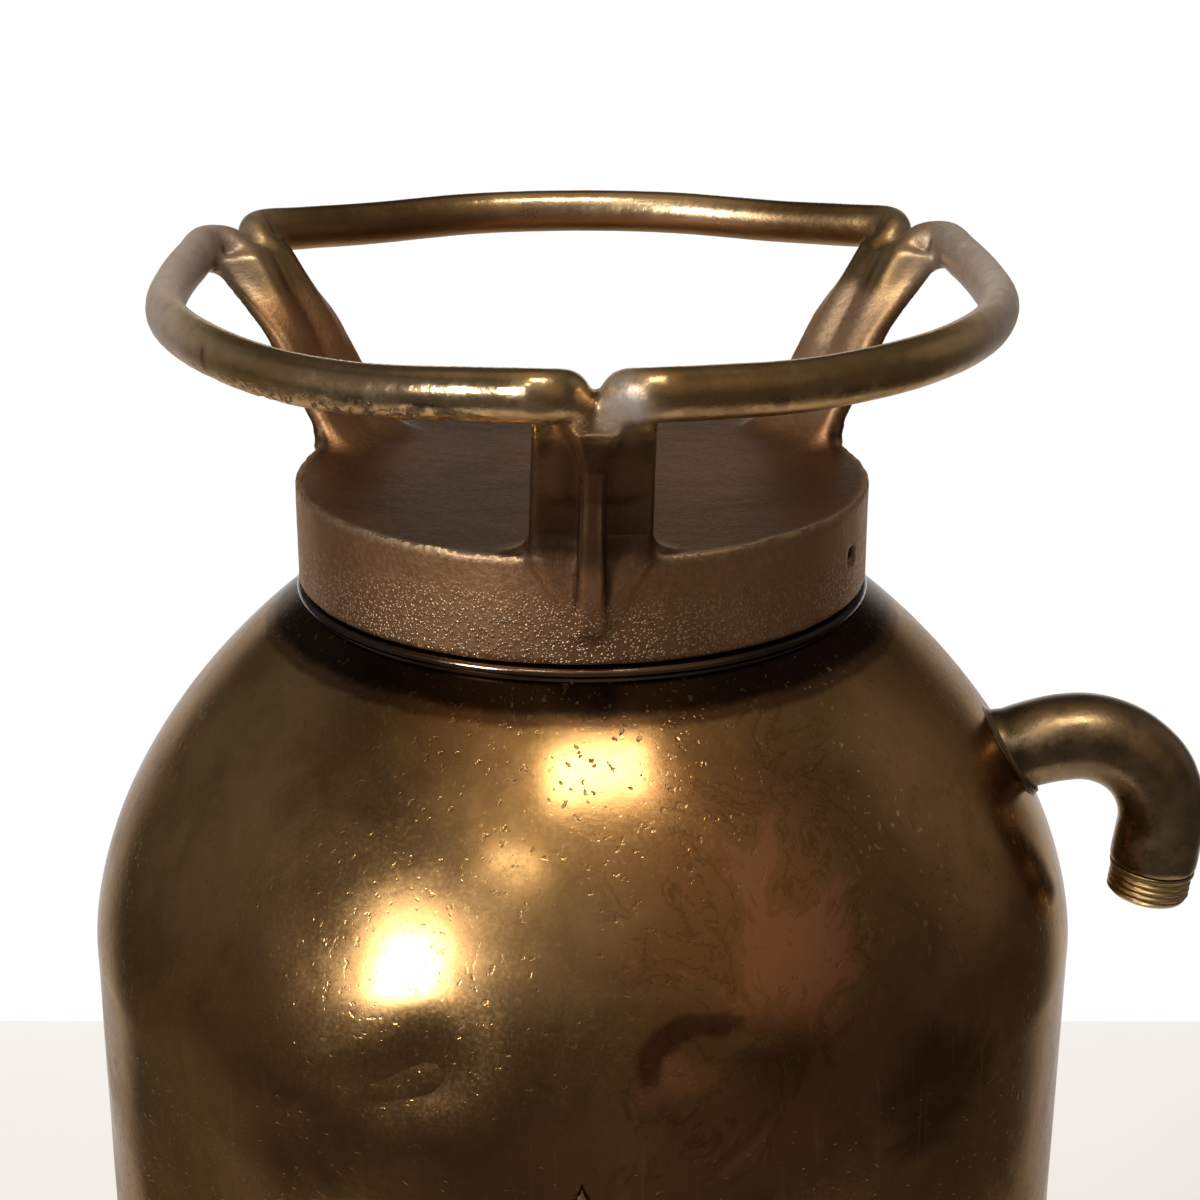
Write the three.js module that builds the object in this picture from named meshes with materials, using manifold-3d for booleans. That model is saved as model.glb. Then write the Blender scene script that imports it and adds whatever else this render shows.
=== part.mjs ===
// Soda-acid fire extinguisher of the 2 1/2 gallon hand size: a drawn copper vessel with a screw cap
// that carries a three-lobed handle ring, an outlet elbow for the hose, and inside it the acid bottle
// in its cage.
// Millimetres, +Z up. The origin is on the vessel's axis at the floor. The outlet elbow points along +X and
// the name plate faces -Y.
import * as THREE from "three";
import { mergeVertices } from "three/addons/utils/BufferGeometryUtils.js";
import Module from "manifold-3d";

const wasm = await Module();
wasm.setup();

// ---- Driving dimensions ----
const BODY_R = 88.9; // a 7 inch shell
const WALL = 1.2;
const CAP_TOP = 573; // the handle ring rises 37 above it, which makes 610, or 24 inches
const GAP = 0.35; // soldered, screwed and riveted faces stand this far apart
const ROUND = 48; // facets round the vessel
const CUT = 4; // a body that cuts another reaches this far past it

// The shoulder is a superellipse from the cylinder up to the neck.
const SHOULDER_Z = CAP_TOP - 82.7;
const DOME_H = 82.3;
const DOME_POWER = 1.686;
const NECK_HOLE_R = 48;
const DOME_STEPS = 11;

// Screw cap and its handle ring.
const CAP_R = 49.85;
const CAP_H = 17.2;
const CAP_BORE_R = 46.5;
const CAP_CEILING = CAP_TOP - 6;
const RING_Z = CAP_TOP + 32.2; // height of the ring's centre line over the axis
const RING_LEAN = 0.019; // the ring's rise towards the back, from a lifetime of being grasped
const RING_MID_R = 70.1; // centre line along most of a lobe
const RING_CORNER_R = 73.4; // centre line where a lobe turns in to its leg
const BAR_WIDTH = 6.4; // the ring bar's section, across and upright
const BAR_HEIGHT = 8;
const FIRST_LEG = THREE.MathUtils.degToRad(-88.4);
const LEG_FOOT_R = 46; // middle of the leg's plate at the cap's top, and at the ring
const LEG_TOP_R = 65.5;
const LEG_WIDTH = 19.4;
const LEG_THICK = 3.6;
const RIB_WIDTH = 3.8;
const VENT_R = 1.5;
const VENT_Z = CAP_TOP - 8.5;
const VENT_AZIMUTH = FIRST_LEG + THREE.MathUtils.degToRad(63);

// Neck collar, gasket, cage and bottle.
const COLLAR_TOP = CAP_TOP - 10;
const COLLAR_BORE_R = 38.5;
const BEAD_R = 49.5; // the collar's round edge, under the cap
const NECK_THREAD_R = 46;
const SEAT_R = 41; // the recess that the cage ring lies in
const CAGE_SEAT_Z = COLLAR_TOP - 3.3;
const CAGE_BOTTOM = CAP_TOP - 169;
const RING_RIVET_R = 35; // radius of the circle of rivets in the cage ring
const CUP_RIVET_Z = CAGE_BOTTOM + 8;
const SMALL_RIVET_R = 1.1;
const SMALL_HEAD_R = 2.1;
const RIVET_SLACK = 0.3;
const STRAP_IN_R = 31.2;
const STRAP_THICK = 1.5;
const STRAP_WIDTH = 10;
const CUP_R = 30.8;
const CUP_WALL = 1.2;
const CUP_FLOOR = 1.5;
const CUP_H = 14;
const BOTTLE_R = 28.8;
const BOTTLE_H = 135;
const BOTTLE_FOOT = CAGE_BOTTOM + CUP_FLOOR + 0.4;

// Outlet elbow.
const OUTLET_AZIMUTH = THREE.MathUtils.degToRad(-4.5); // a little forward of square to the name plate
const ELBOW_Z = CAP_TOP - 48.8; // where its centre line meets the shoulder
const ELBOW_RISE = THREE.MathUtils.degToRad(8);
const ELBOW_RUN = 11;
const ELBOW_BEND_R = 15.4;
const ELBOW_OVERBEND = THREE.MathUtils.degToRad(6); // the mouth looks in a little under the shoulder
const ELBOW_DROP = 7.2;
const ELBOW_INSIDE = 16; // how far the tube goes on inside the shell
const ELBOW_STEPS = 20;
const TUBE_SIDES = 14;
const TUBE_R = 7.75;
const TUBE_BORE_R = 5.6;
const FLANGE_R = TUBE_R + 2;
const FLANGE_THICK = 1.3;
const SPIGOT_H = 6;
const SPIGOT_R = 7.35;
const SPIGOT_BORE_R = 4.5;
const SLEEVE_R = 5.2; // the spigot's sleeve, up inside the elbow
const SLEEVE_H = 5;
const STRAINER_THICK = 1.4;
const STRAINER_START = -35; // along the outlet, inwards of the shoulder
const STRAINER_END = -11.5;

// Foot and grip.
const FOOT_H = 21;
const FOOT_LIP = 1.5;
const FOOT_THICK = 1.5;
const FOOT_IN_R = BODY_R - 4.4;
const HEAD_Z = 29;
const HEAD_THICK = 1.4;
const HEAD_FLANGE_H = 6;
const HEAD_RISE = 20;
const GRIP_Z = 2;
const GRIP_THICK = 4;
const GRIP_WIDTH = 25;
const GRIP_END = BODY_R - WALL - 1.3;
const TAB_THICK = 3;
const TAB_TOP = 19.5;
const RIVET_R = 1.9;
const RIVET_Y = 7;
const RIVET_Z = 13;

// Name plate.
const PLATE_TOP = 487;
const PLATE_W = 74;
const PLATE_H = 104;
const PLATE_THICK = 0.9;
const PLATE_CORNER = 4;
const OGEE_H = 20;

// ---- Helpers ----

// A closed geometry as a manifold-3d solid.
function toSolid(geometry) {
  const bare = geometry.clone();
  bare.deleteAttribute("normal");
  bare.deleteAttribute("uv");
  const merged = mergeVertices(bare, 1e-4);
  return new wasm.Manifold(
    new wasm.Mesh({
      numProp: 3,
      vertProperties: new Float32Array(merged.attributes.position.array),
      triVerts: new Uint32Array(merged.index.array),
    }),
  );
}

function toGeometry(solid) {
  const mesh = solid.getMesh();
  const geometry = new THREE.BufferGeometry();
  geometry.setAttribute("position", new THREE.BufferAttribute(mesh.vertProperties, 3));
  geometry.setIndex(new THREE.BufferAttribute(mesh.triVerts, 1));
  geometry.computeVertexNormals();
  return geometry;
}

// Turns a profile of [radius, height] pairs about +Z. A profile off the axis is closed on itself.
function turned(profile, segments = ROUND) {
  const points = profile.map(([r, z]) => new THREE.Vector2(r, z));
  if (THREE.ShapeUtils.area(points) < 0) points.reverse();
  const offAxis = points.every((p) => p.x > 0);
  if (offAxis) points.push(points[0].clone());
  return new THREE.LatheGeometry(points, segments).rotateX(Math.PI / 2);
}

// A round bar from one point to another.
function bar(from, to, radius, segments = 16) {
  const along = new THREE.Vector3().subVectors(to, from);
  const geometry = new THREE.CylinderGeometry(radius, radius, along.length(), segments);
  const upright = new THREE.Vector3(0, 1, 0);
  const turn = new THREE.Quaternion().setFromUnitVectors(upright, along.clone().normalize());
  geometry.applyQuaternion(turn);
  const middle = from.clone().addScaledVector(along, 0.5);
  return geometry.translate(middle.x, middle.y, middle.z);
}

// An oval section swept along a curve. upright is its size along +Z where the curve runs level.
function swept(curve, across, upright, steps, sides = 12) {
  const section = new THREE.Shape();
  for (let i = 0; i < sides; i++) {
    const a = (2 * Math.PI * i) / sides;
    const x = (upright / 2) * Math.cos(a);
    const y = (across / 2) * Math.sin(a);
    if (i === 0) section.moveTo(x, y);
    else section.lineTo(x, y);
  }
  section.closePath();
  return new THREE.ExtrudeGeometry(section, { steps, extrudePath: curve, bevelEnabled: false });
}

// An outline in a vertical plane through the axis, given thickness about that plane, turned to an azimuth.
function web(outline, thickness, azimuth) {
  const shape = new THREE.Shape(outline.map(([r, z]) => new THREE.Vector2(r, z)));
  const geometry = new THREE.ExtrudeGeometry(shape, { depth: thickness, bevelEnabled: false });
  return geometry
    .translate(0, 0, -thickness / 2)
    .rotateX(Math.PI / 2)
    .rotateZ(azimuth);
}

function polar(radius, azimuth, z) {
  return new THREE.Vector3(radius * Math.cos(azimuth), radius * Math.sin(azimuth), z);
}

// ---- Shell ----

// Points of the shoulder from the cylinder up to the radius where it stops. inset moves it inwards.
function shoulder(inset, stopR, count) {
  const radius = BODY_R - inset;
  const last = Math.acos(Math.pow(stopR / radius, DOME_POWER / 2));
  const points = [];
  for (let i = 0; i <= count; i++) {
    const t = (last * i) / count;
    points.push([
      radius * Math.pow(Math.cos(t), 2 / DOME_POWER),
      SHOULDER_Z + (DOME_H - inset) * Math.pow(Math.sin(t), 2 / DOME_POWER),
    ]);
  }
  return points;
}

function shoulderRadius(z, inset = 0) {
  const s = (z - SHOULDER_Z) / (DOME_H - inset);
  return (BODY_R - inset) * Math.pow(1 - Math.pow(s, DOME_POWER), 1 / DOME_POWER);
}

function shellSolid() {
  const outer = shoulder(0, NECK_HOLE_R, DOME_STEPS);
  const inner = shoulder(WALL, NECK_HOLE_R, DOME_STEPS).reverse();
  const bottom = FOOT_LIP + GAP;
  return toSolid(turned([[BODY_R - WALL, bottom], [BODY_R, bottom], ...outer, ...inner]));
}

// ---- Outlet ----

const rootR = shoulderRadius(ELBOW_Z);
const outward = new THREE.Vector3(Math.cos(ELBOW_RISE), 0, Math.sin(ELBOW_RISE));
const root = new THREE.Vector3(rootR, 0, ELBOW_Z);

// A point on the outlet's first straight stretch, so far out from the shoulder.
function alongOutlet(distance) {
  return root.clone().addScaledVector(outward, distance);
}

// The elbow's centre line: straight out of the shoulder, round the bend and down. It starts so far
// inside the shoulder and goes so far on past the mouth.
class ElbowCurve extends THREE.Curve {
  constructor(inside, extra) {
    super();
    this.inside = inside;
    this.bendStart = alongOutlet(ELBOW_RUN);
    this.turn = ELBOW_RISE + Math.PI / 2 + ELBOW_OVERBEND;
    this.lengths = [inside + ELBOW_RUN, ELBOW_BEND_R * this.turn, ELBOW_DROP + extra];
  }
  getPoint(t, target = new THREE.Vector3()) {
    const [run, bend, drop] = this.lengths;
    const s = t * (run + bend + drop);
    if (s <= run) return target.copy(alongOutlet(s - this.inside));
    const heading = ELBOW_RISE - Math.min((s - run) / ELBOW_BEND_R, this.turn);
    const past = Math.max(0, s - run - bend);
    const x = this.bendStart.x + ELBOW_BEND_R * (Math.sin(ELBOW_RISE) - Math.sin(heading));
    const z = this.bendStart.z + ELBOW_BEND_R * (Math.cos(heading) - Math.cos(ELBOW_RISE));
    return target.set(x + past * Math.cos(heading), 0, z + past * Math.sin(heading));
  }
}

function elbowSolid() {
  const skinLine = new ElbowCurve(ELBOW_INSIDE, 0);
  const boreLine = new ElbowCurve(ELBOW_INSIDE + CUT, CUT);
  const skin = swept(skinLine, 2 * TUBE_R, 2 * TUBE_R, ELBOW_STEPS, TUBE_SIDES);
  const bore = swept(boreLine, 2 * TUBE_BORE_R, 2 * TUBE_BORE_R, ELBOW_STEPS, TUBE_SIDES);
  return toSolid(skin).subtract(toSolid(bore));
}

// The threaded end for the hose coupling, with a sleeve that fits up inside the elbow.
function spigotGeometry() {
  const mouth = new ElbowCurve(0, 0).getPoint(1);
  const end = -GAP - SPIGOT_H;
  const profile = [
    [SPIGOT_BORE_R, end],
    [SPIGOT_R - 0.45, end],
    [SPIGOT_R, end + 0.5],
    [SPIGOT_R, -GAP],
    [SLEEVE_R, -GAP],
    [SLEEVE_R, SLEEVE_H],
    [SPIGOT_BORE_R, SLEEVE_H],
  ];
  return turned(profile, 20).rotateY(ELBOW_OVERBEND).translate(mouth.x, 0, mouth.z);
}

// The shoulder as a solid, grown outwards by a skin.
function grownShoulder(skin) {
  const low = SHOULDER_Z - 30;
  const neck = shoulder(-skin, NECK_HOLE_R - 8, DOME_STEPS * 2);
  return toSolid(turned([[0, low], [BODY_R + skin, low], ...neck, [0, COLLAR_TOP]]));
}

// The soldered collar round the elbow's root, shaped to the shoulder.
function flangeSolid() {
  const reach = 12;
  const disc = toSolid(bar(alongOutlet(-reach), alongOutlet(reach), FLANGE_R, 24));
  const hole = toSolid(bar(alongOutlet(-reach - CUT), alongOutlet(reach + CUT), TUBE_R + GAP, 20));
  const skin = grownShoulder(GAP + FLANGE_THICK).subtract(grownShoulder(GAP));
  return disc.intersect(skin).subtract(hole);
}

// A perforated thimble over the elbow's inner end keeps scale out of the hose.
function strainerSolid() {
  const start = alongOutlet(STRAINER_START);
  const inside = alongOutlet(STRAINER_START + 1);
  const tube = toSolid(bar(start, alongOutlet(STRAINER_END), TUBE_R + STRAINER_THICK, 20));
  const hollow = toSolid(bar(inside, alongOutlet(STRAINER_END + CUT), TUBE_R + GAP, 20));
  let solid = tube.subtract(hollow);
  const sideways = new THREE.Vector3(0, 1, 0);
  const upright = new THREE.Vector3().crossVectors(outward, sideways);
  for (const distance of [-30, -25, -20]) {
    for (const direction of [sideways, upright]) {
      const middle = alongOutlet(distance);
      const reach = direction.clone().multiplyScalar(TUBE_R + CUT);
      const drill = bar(middle.clone().sub(reach), middle.clone().add(reach), 1.5, 8);
      solid = solid.subtract(toSolid(drill));
    }
  }
  return solid;
}

// ---- Foot ----

function bottomHeadGeometry() {
  const flangeR = BODY_R - WALL - GAP;
  const flangeTop = HEAD_Z + HEAD_FLANGE_H;
  const dishR = flangeR - 3;
  const arc = (radius, base) => {
    const count = 6;
    const points = [];
    for (let i = 0; i <= count; i++) {
      const r = radius * (1 - i / count);
      points.push([r, base + HEAD_RISE * (1 - (r / radius) ** 2)]);
    }
    return points;
  };
  const upper = arc(dishR, flangeTop + 2);
  const lower = arc(dishR - HEAD_THICK, flangeTop + 2 - HEAD_THICK).reverse();
  const flange = [
    [flangeR - HEAD_THICK, HEAD_Z],
    [flangeR, HEAD_Z],
    [flangeR, flangeTop],
  ];
  return turned([...lower, ...flange, ...upper]);
}

function footBandGeometry() {
  const inR = BODY_R + GAP;
  const outR = inR + FOOT_THICK;
  return turned([
    [FOOT_IN_R, 0],
    [outR - 0.4, 0],
    [outR + 0.7, 1.2],
    [outR + 0.7, 2.6],
    [outR, 3.6],
    [outR, FOOT_H - 1.6],
    [inR + 0.4, FOOT_H],
    [inR, FOOT_H],
    [inR, FOOT_LIP],
    [FOOT_IN_R, FOOT_LIP],
  ]);
}

const rivetPlaces = [
  [1, RIVET_Y],
  [1, -RIVET_Y],
  [-1, RIVET_Y],
  [-1, -RIVET_Y],
];

function rivetHole([side, y]) {
  const from = new THREE.Vector3(side * (GRIP_END - TAB_THICK - CUT), y, RIVET_Z);
  const to = new THREE.Vector3(side * (BODY_R + 2 * CUT), y, RIVET_Z);
  return toSolid(bar(from, to, RIVET_R + RIVET_SLACK, 10));
}

// A flat bar across the hollow foot, turned up at both ends: the hand hold for turning the vessel over.
function gripGeometry() {
  const top = GRIP_Z + GRIP_THICK;
  const tabFace = GRIP_END - TAB_THICK;
  const half = [
    [FOOT_IN_R - 1.6, GRIP_Z],
    [GRIP_END - 0.8, GRIP_Z + 1.8],
    [GRIP_END, GRIP_Z + 4.4],
    [GRIP_END, TAB_TOP],
    [tabFace, TAB_TOP],
    [tabFace, top + 2],
    [tabFace - 2, top],
  ];
  const mirrored = half.map(([x, z]) => [-x, z]).reverse();
  const shape = new THREE.Shape([...half, ...mirrored].map(([x, z]) => new THREE.Vector2(x, z)));
  const geometry = new THREE.ExtrudeGeometry(shape, { depth: GRIP_WIDTH, bevelEnabled: false });
  return geometry.translate(0, 0, -GRIP_WIDTH / 2).rotateX(Math.PI / 2);
}

function gripRivetGeometry([side, y]) {
  const tabFace = GRIP_END - TAB_THICK;
  const skin = Math.sqrt((BODY_R + GAP + FOOT_THICK) ** 2 - y * y);
  const profile = [
    [0, tabFace - 1.5],
    [2.4, tabFace - 1.3],
    [3.2, tabFace - GAP],
    [RIVET_R, tabFace - GAP],
    [RIVET_R, skin + GAP],
    [3.5, skin + GAP],
    [3, skin + 1.3],
    [1.6, skin + 2],
    [0, skin + 2.2],
  ];
  const geometry = turned(profile, 10).rotateY((side * Math.PI) / 2);
  return geometry.translate(0, y, RIVET_Z);
}

// ---- Neck ----

function collarGeometry() {
  const dome = (r) => shoulder(0, r, 1)[1][1] + 0.4;
  const insideR = NECK_HOLE_R - 0.4;
  const low = CAP_TOP - 26;
  const beadTop = CAP_TOP - CAP_H - 0.5;
  return turned([
    [COLLAR_BORE_R, low],
    [insideR, low],
    [insideR, dome(insideR)],
    [BEAD_R - 0.4, dome(BEAD_R - 0.4)],
    [BEAD_R, dome(BEAD_R - 0.4) + 0.5],
    [BEAD_R, beadTop - 0.8],
    [BEAD_R - 0.6, beadTop - 0.2],
    [NECK_THREAD_R, beadTop],
    [NECK_THREAD_R, COLLAR_TOP - 0.8],
    [NECK_THREAD_R - 0.8, COLLAR_TOP],
    [SEAT_R, COLLAR_TOP],
    [SEAT_R, CAGE_SEAT_Z],
    [COLLAR_BORE_R, CAGE_SEAT_Z],
  ]);
}

function gasketGeometry() {
  const low = COLLAR_TOP + RIVET_SLACK;
  const high = CAP_CEILING - RIVET_SLACK;
  return turned([
    [SEAT_R + 0.3, low],
    [NECK_THREAD_R, low],
    [NECK_THREAD_R, high],
    [SEAT_R + 0.3, high],
  ]);
}

// ---- Cap casting ----

// The ring's centre line at a radius and azimuth, raised by so much over its usual height.
function ringPoint(radius, azimuth, raise = 0) {
  const p = polar(radius, azimuth, RING_Z + raise);
  p.z += RING_LEAN * p.y;
  return p;
}

// A point at a leg, set off sideways from the leg's middle.
function besideLeg(radius, azimuth, aside, raise) {
  const sideways = new THREE.Vector3(-Math.sin(azimuth), Math.cos(azimuth), 0);
  return ringPoint(radius, azimuth, raise).addScaledVector(sideways, aside);
}

// One lobe of the ring. Its ends turn in and down, beside their neighbours, into the legs' tops.
function lobeCurve(firstLeg) {
  const halfLobe = Math.PI / 3;
  const middle = firstLeg + halfLobe;
  const corner = 0.89 * halfLobe;
  const end = (leg, side) => [
    besideLeg(LEG_TOP_R - 4, leg, side * 3.2, -9),
    besideLeg(LEG_TOP_R + 1.3, leg, side * 3.4, -3.4),
    besideLeg(LEG_TOP_R + 5.3, leg, side * 4.7, -0.6),
  ];
  const lobe = [];
  for (const share of [-1, -0.86, -0.62, -0.31, 0, 0.31, 0.62, 0.86, 1]) {
    const flare = Math.max(0, (Math.abs(share) - 0.62) / 0.38);
    const radius = RING_MID_R + (RING_CORNER_R - RING_MID_R) * flare ** 1.6;
    lobe.push(ringPoint(radius, middle + share * corner));
  }
  const points = [...end(firstLeg, 1), ...lobe, ...end(middle + halfLobe, -1).reverse()];
  return new THREE.CatmullRomCurve3(points, false, "centripetal");
}

// A leg: a plate that leans out from the cap, with a rib down its outer face that dies out on the
// cap's side.
function legSolids(azimuth) {
  const half = LEG_THICK / 2;
  const top = ringPoint(LEG_TOP_R, azimuth).z;
  const plate = [
    [LEG_FOOT_R - half, CAP_TOP - 2],
    [LEG_FOOT_R + half, CAP_TOP - 2],
    [LEG_TOP_R + half, top],
    [LEG_TOP_R - half, top],
  ];
  const rib = [
    [CAP_R - 1, CAP_TOP - 12],
    [CAP_R + 0.5, CAP_TOP - 10.8],
    [CAP_R + 2.3, CAP_TOP - 5],
    [CAP_R + 4.4, CAP_TOP + 1],
    [CAP_R + 6, CAP_TOP + 6],
    [CAP_R + 8.6, CAP_TOP + 12],
    [CAP_R + 13, CAP_TOP + 18.5],
    [CAP_R + 18.3, CAP_TOP + 24],
    [LEG_TOP_R + 6.8, top - 5.5],
    [LEG_TOP_R + 6, top - 1.5],
    [LEG_TOP_R, top - 1.5],
    [LEG_FOOT_R, CAP_TOP - 1],
  ];
  return [toSolid(web(plate, LEG_WIDTH, azimuth)), toSolid(web(rib, RIB_WIDTH, azimuth))];
}

function capSolid() {
  const disc = turned([
    [0, CAP_TOP],
    [CAP_R - 0.7, CAP_TOP],
    [CAP_R, CAP_TOP - 0.7],
    [CAP_R, CAP_TOP - CAP_H + 0.5],
    [CAP_R - 0.5, CAP_TOP - CAP_H],
    [CAP_BORE_R, CAP_TOP - CAP_H],
    [CAP_BORE_R, CAP_CEILING],
    [0, CAP_CEILING],
  ]);
  let solid = toSolid(disc);
  for (let i = 0; i < 3; i++) {
    const azimuth = FIRST_LEG + (i * 2 * Math.PI) / 3;
    solid = solid.add(toSolid(swept(lobeCurve(azimuth), BAR_WIDTH, BAR_HEIGHT, 30, 10)));
    for (const piece of legSolids(azimuth)) solid = solid.add(piece);
  }
  // The ribs' ends are cut clear of the thread.
  const low = CAP_TOP - CAP_H - CUT;
  const threadBore = turned([
    [0, low],
    [CAP_BORE_R, low],
    [CAP_BORE_R, CAP_CEILING],
    [0, CAP_CEILING],
  ]);
  const ventInside = polar(CAP_BORE_R - CUT, VENT_AZIMUTH, VENT_Z);
  const vent = bar(ventInside, polar(CAP_R + CUT, VENT_AZIMUTH, VENT_Z), VENT_R, 10);
  return solid.subtract(toSolid(threadBore)).subtract(toSolid(vent));
}

// ---- Acid bottle and its cage ----

const strapAzimuths = [45, 135, 225, 315].map((degrees) => THREE.MathUtils.degToRad(degrees));

function smallHole(from, to) {
  return toSolid(bar(from, to, SMALL_RIVET_R + RIVET_SLACK, 8));
}

function ringRivetHole(azimuth) {
  const low = polar(RING_RIVET_R, azimuth, CAGE_SEAT_Z - CUT);
  return smallHole(low, polar(RING_RIVET_R, azimuth, COLLAR_TOP + CUT));
}

function cupRivetHole(azimuth) {
  const inside = polar(CUP_R - CUT, azimuth, CUP_RIVET_Z);
  return smallHole(inside, polar(CUP_R + 2 * CUT, azimuth, CUP_RIVET_Z));
}

function cageRingSolid() {
  const inR = STRAP_IN_R - 0.3;
  const outR = SEAT_R - 0.4;
  const low = CAGE_SEAT_Z + RIVET_SLACK;
  const high = COLLAR_TOP - RIVET_SLACK;
  const profile = [
    [inR, low],
    [outR, low],
    [outR, high],
    [inR, high],
  ];
  let ring = toSolid(turned(profile, 32));
  for (const azimuth of strapAzimuths) ring = ring.subtract(ringRivetHole(azimuth));
  return ring;
}

function cageStrapSolid(azimuth) {
  const top = CAGE_SEAT_Z - 0.1;
  const outR = STRAP_IN_R + STRAP_THICK;
  const earR = RING_RIVET_R + 2.4;
  const outline = [
    [STRAP_IN_R, CAGE_BOTTOM + 1],
    [outR, CAGE_BOTTOM + 1],
    [outR, top - STRAP_THICK],
    [earR, top - STRAP_THICK],
    [earR, top],
    [STRAP_IN_R, top],
  ];
  const strap = toSolid(web(outline, STRAP_WIDTH, azimuth));
  return strap.subtract(ringRivetHole(azimuth)).subtract(cupRivetHole(azimuth));
}

function cageCupSolid() {
  let cup = toSolid(
    turned(
      [
        [0, CAGE_BOTTOM],
        [CUP_R - 1.5, CAGE_BOTTOM],
        [CUP_R, CAGE_BOTTOM + 1.5],
        [CUP_R, CAGE_BOTTOM + CUP_H],
        [CUP_R - CUP_WALL, CAGE_BOTTOM + CUP_H],
        [CUP_R - CUP_WALL, CAGE_BOTTOM + CUP_FLOOR],
        [0, CAGE_BOTTOM + CUP_FLOOR],
      ],
      32,
    ),
  );
  for (const azimuth of strapAzimuths) cup = cup.subtract(cupRivetHole(azimuth));
  return cup;
}

// A rivet with two heads, its shank along +Z from one face to the other.
function smallRivet(low, high) {
  const crownR = 0.7 * SMALL_HEAD_R;
  return turned(
    [
      [0, low - 0.9],
      [crownR, low - 0.8],
      [SMALL_HEAD_R, low - RIVET_SLACK],
      [SMALL_RIVET_R, low - RIVET_SLACK],
      [SMALL_RIVET_R, high + RIVET_SLACK],
      [SMALL_HEAD_R, high + RIVET_SLACK],
      [crownR, high + 0.8],
      [0, high + 0.9],
    ],
    8,
  );
}

function ringRivetGeometry(azimuth) {
  const place = polar(RING_RIVET_R, azimuth, 0);
  const rivet = smallRivet(CAGE_SEAT_Z - STRAP_THICK - 0.1, COLLAR_TOP - RIVET_SLACK);
  return rivet.translate(place.x, place.y, 0);
}

function cupRivetGeometry(azimuth) {
  // The inner head is sunk in the cup's wall, so that the bottle slides past it.
  const inner = CUP_R - CUP_WALL + 0.15;
  const outer = STRAP_IN_R + STRAP_THICK;
  const profile = [
    [0, inner],
    [SMALL_RIVET_R, inner],
    [SMALL_RIVET_R, outer + RIVET_SLACK],
    [SMALL_HEAD_R, outer + RIVET_SLACK],
    [1.5, outer + 0.8],
    [0, outer + 0.9],
  ];
  return turned(profile, 8).rotateY(Math.PI / 2).rotateZ(azimuth).translate(0, 0, CUP_RIVET_Z);
}

function bottleGeometry() {
  const foot = BOTTLE_FOOT;
  const glass = 2.5;
  const neckR = 14;
  const boreR = 10.5;
  const top = foot + BOTTLE_H;
  return turned(
    [
      [0, foot + 1.5],
      [BOTTLE_R - 8, foot + 1.2],
      [BOTTLE_R - 5, foot],
      [BOTTLE_R - 1.5, foot + 0.8],
      [BOTTLE_R, foot + 3],
      [BOTTLE_R, foot + 96],
      [BOTTLE_R - 2.5, foot + 104],
      [BOTTLE_R - 9, foot + 110],
      [neckR + 0.8, foot + 113.5],
      [neckR, foot + 117],
      [neckR, top - 7],
      [neckR + 2.2, top - 6],
      [neckR + 2.2, top - 0.8],
      [neckR + 1.4, top],
      [boreR, top],
      [boreR, foot + 114],
      [BOTTLE_R - 10, foot + 107],
      [BOTTLE_R - 4.6, foot + 102],
      [BOTTLE_R - glass, foot + 95],
      [BOTTLE_R - glass, foot + 6],
      [BOTTLE_R - 5, foot + 4.3],
      [0, foot + 4.3],
    ],
    26,
  );
}

function stopperGeometry() {
  const lip = BOTTLE_FOOT + BOTTLE_H;
  return turned(
    [
      [0, lip - 20],
      [7.6, lip - 20],
      [8.4, lip - 19],
      [9.6, lip - 1],
      [9.6, lip + GAP],
      [15.5, lip + GAP],
      [15.5, lip + 3],
      [13, lip + 5.5],
      [6.4, lip + 7.5],
      [5.6, lip + 9],
      [5.6, lip + 14],
      [4.8, lip + 15],
      [0, lip + 15],
    ],
    18,
  );
}

// ---- Name plate ----

// A blank plate with an ogee top that ends in a small point, curved to the shell.
function plateSolid() {
  const half = PLATE_W / 2;
  const foot = PLATE_TOP - PLATE_H;
  const springing = PLATE_TOP - OGEE_H;
  const shape = new THREE.Shape();
  shape.moveTo(-half + PLATE_CORNER, foot);
  shape.lineTo(half - PLATE_CORNER, foot);
  shape.quadraticCurveTo(half, foot, half, foot + PLATE_CORNER);
  shape.lineTo(half, springing - 6);
  shape.bezierCurveTo(half, springing + 4, half * 0.62, springing + 5, half * 0.4, springing + 7);
  shape.bezierCurveTo(half * 0.16, springing + 9, 3.2, springing + 12, 0, PLATE_TOP);
  shape.bezierCurveTo(-3.2, springing + 12, -half * 0.16, springing + 9, -half * 0.4, springing + 7);
  shape.bezierCurveTo(-half * 0.62, springing + 5, -half, springing + 4, -half, springing - 6);
  shape.lineTo(-half, foot + PLATE_CORNER);
  shape.quadraticCurveTo(-half, foot, -half + PLATE_CORNER, foot);
  const depth = BODY_R - 30;
  const prism = new THREE.ExtrudeGeometry(shape, { depth, bevelEnabled: false, curveSegments: 5 });
  prism.rotateX(Math.PI / 2).translate(0, -BODY_R + depth - CUT, 0);
  const inR = BODY_R + GAP;
  const outR = inR + PLATE_THICK;
  const skin = turned([
    [inR, foot - CUT],
    [outR, foot - CUT],
    [outR, PLATE_TOP + CUT],
    [inR, PLATE_TOP + CUT],
  ]);
  return toSolid(skin).intersect(toSolid(prism));
}

// ---- Assembly ----

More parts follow.
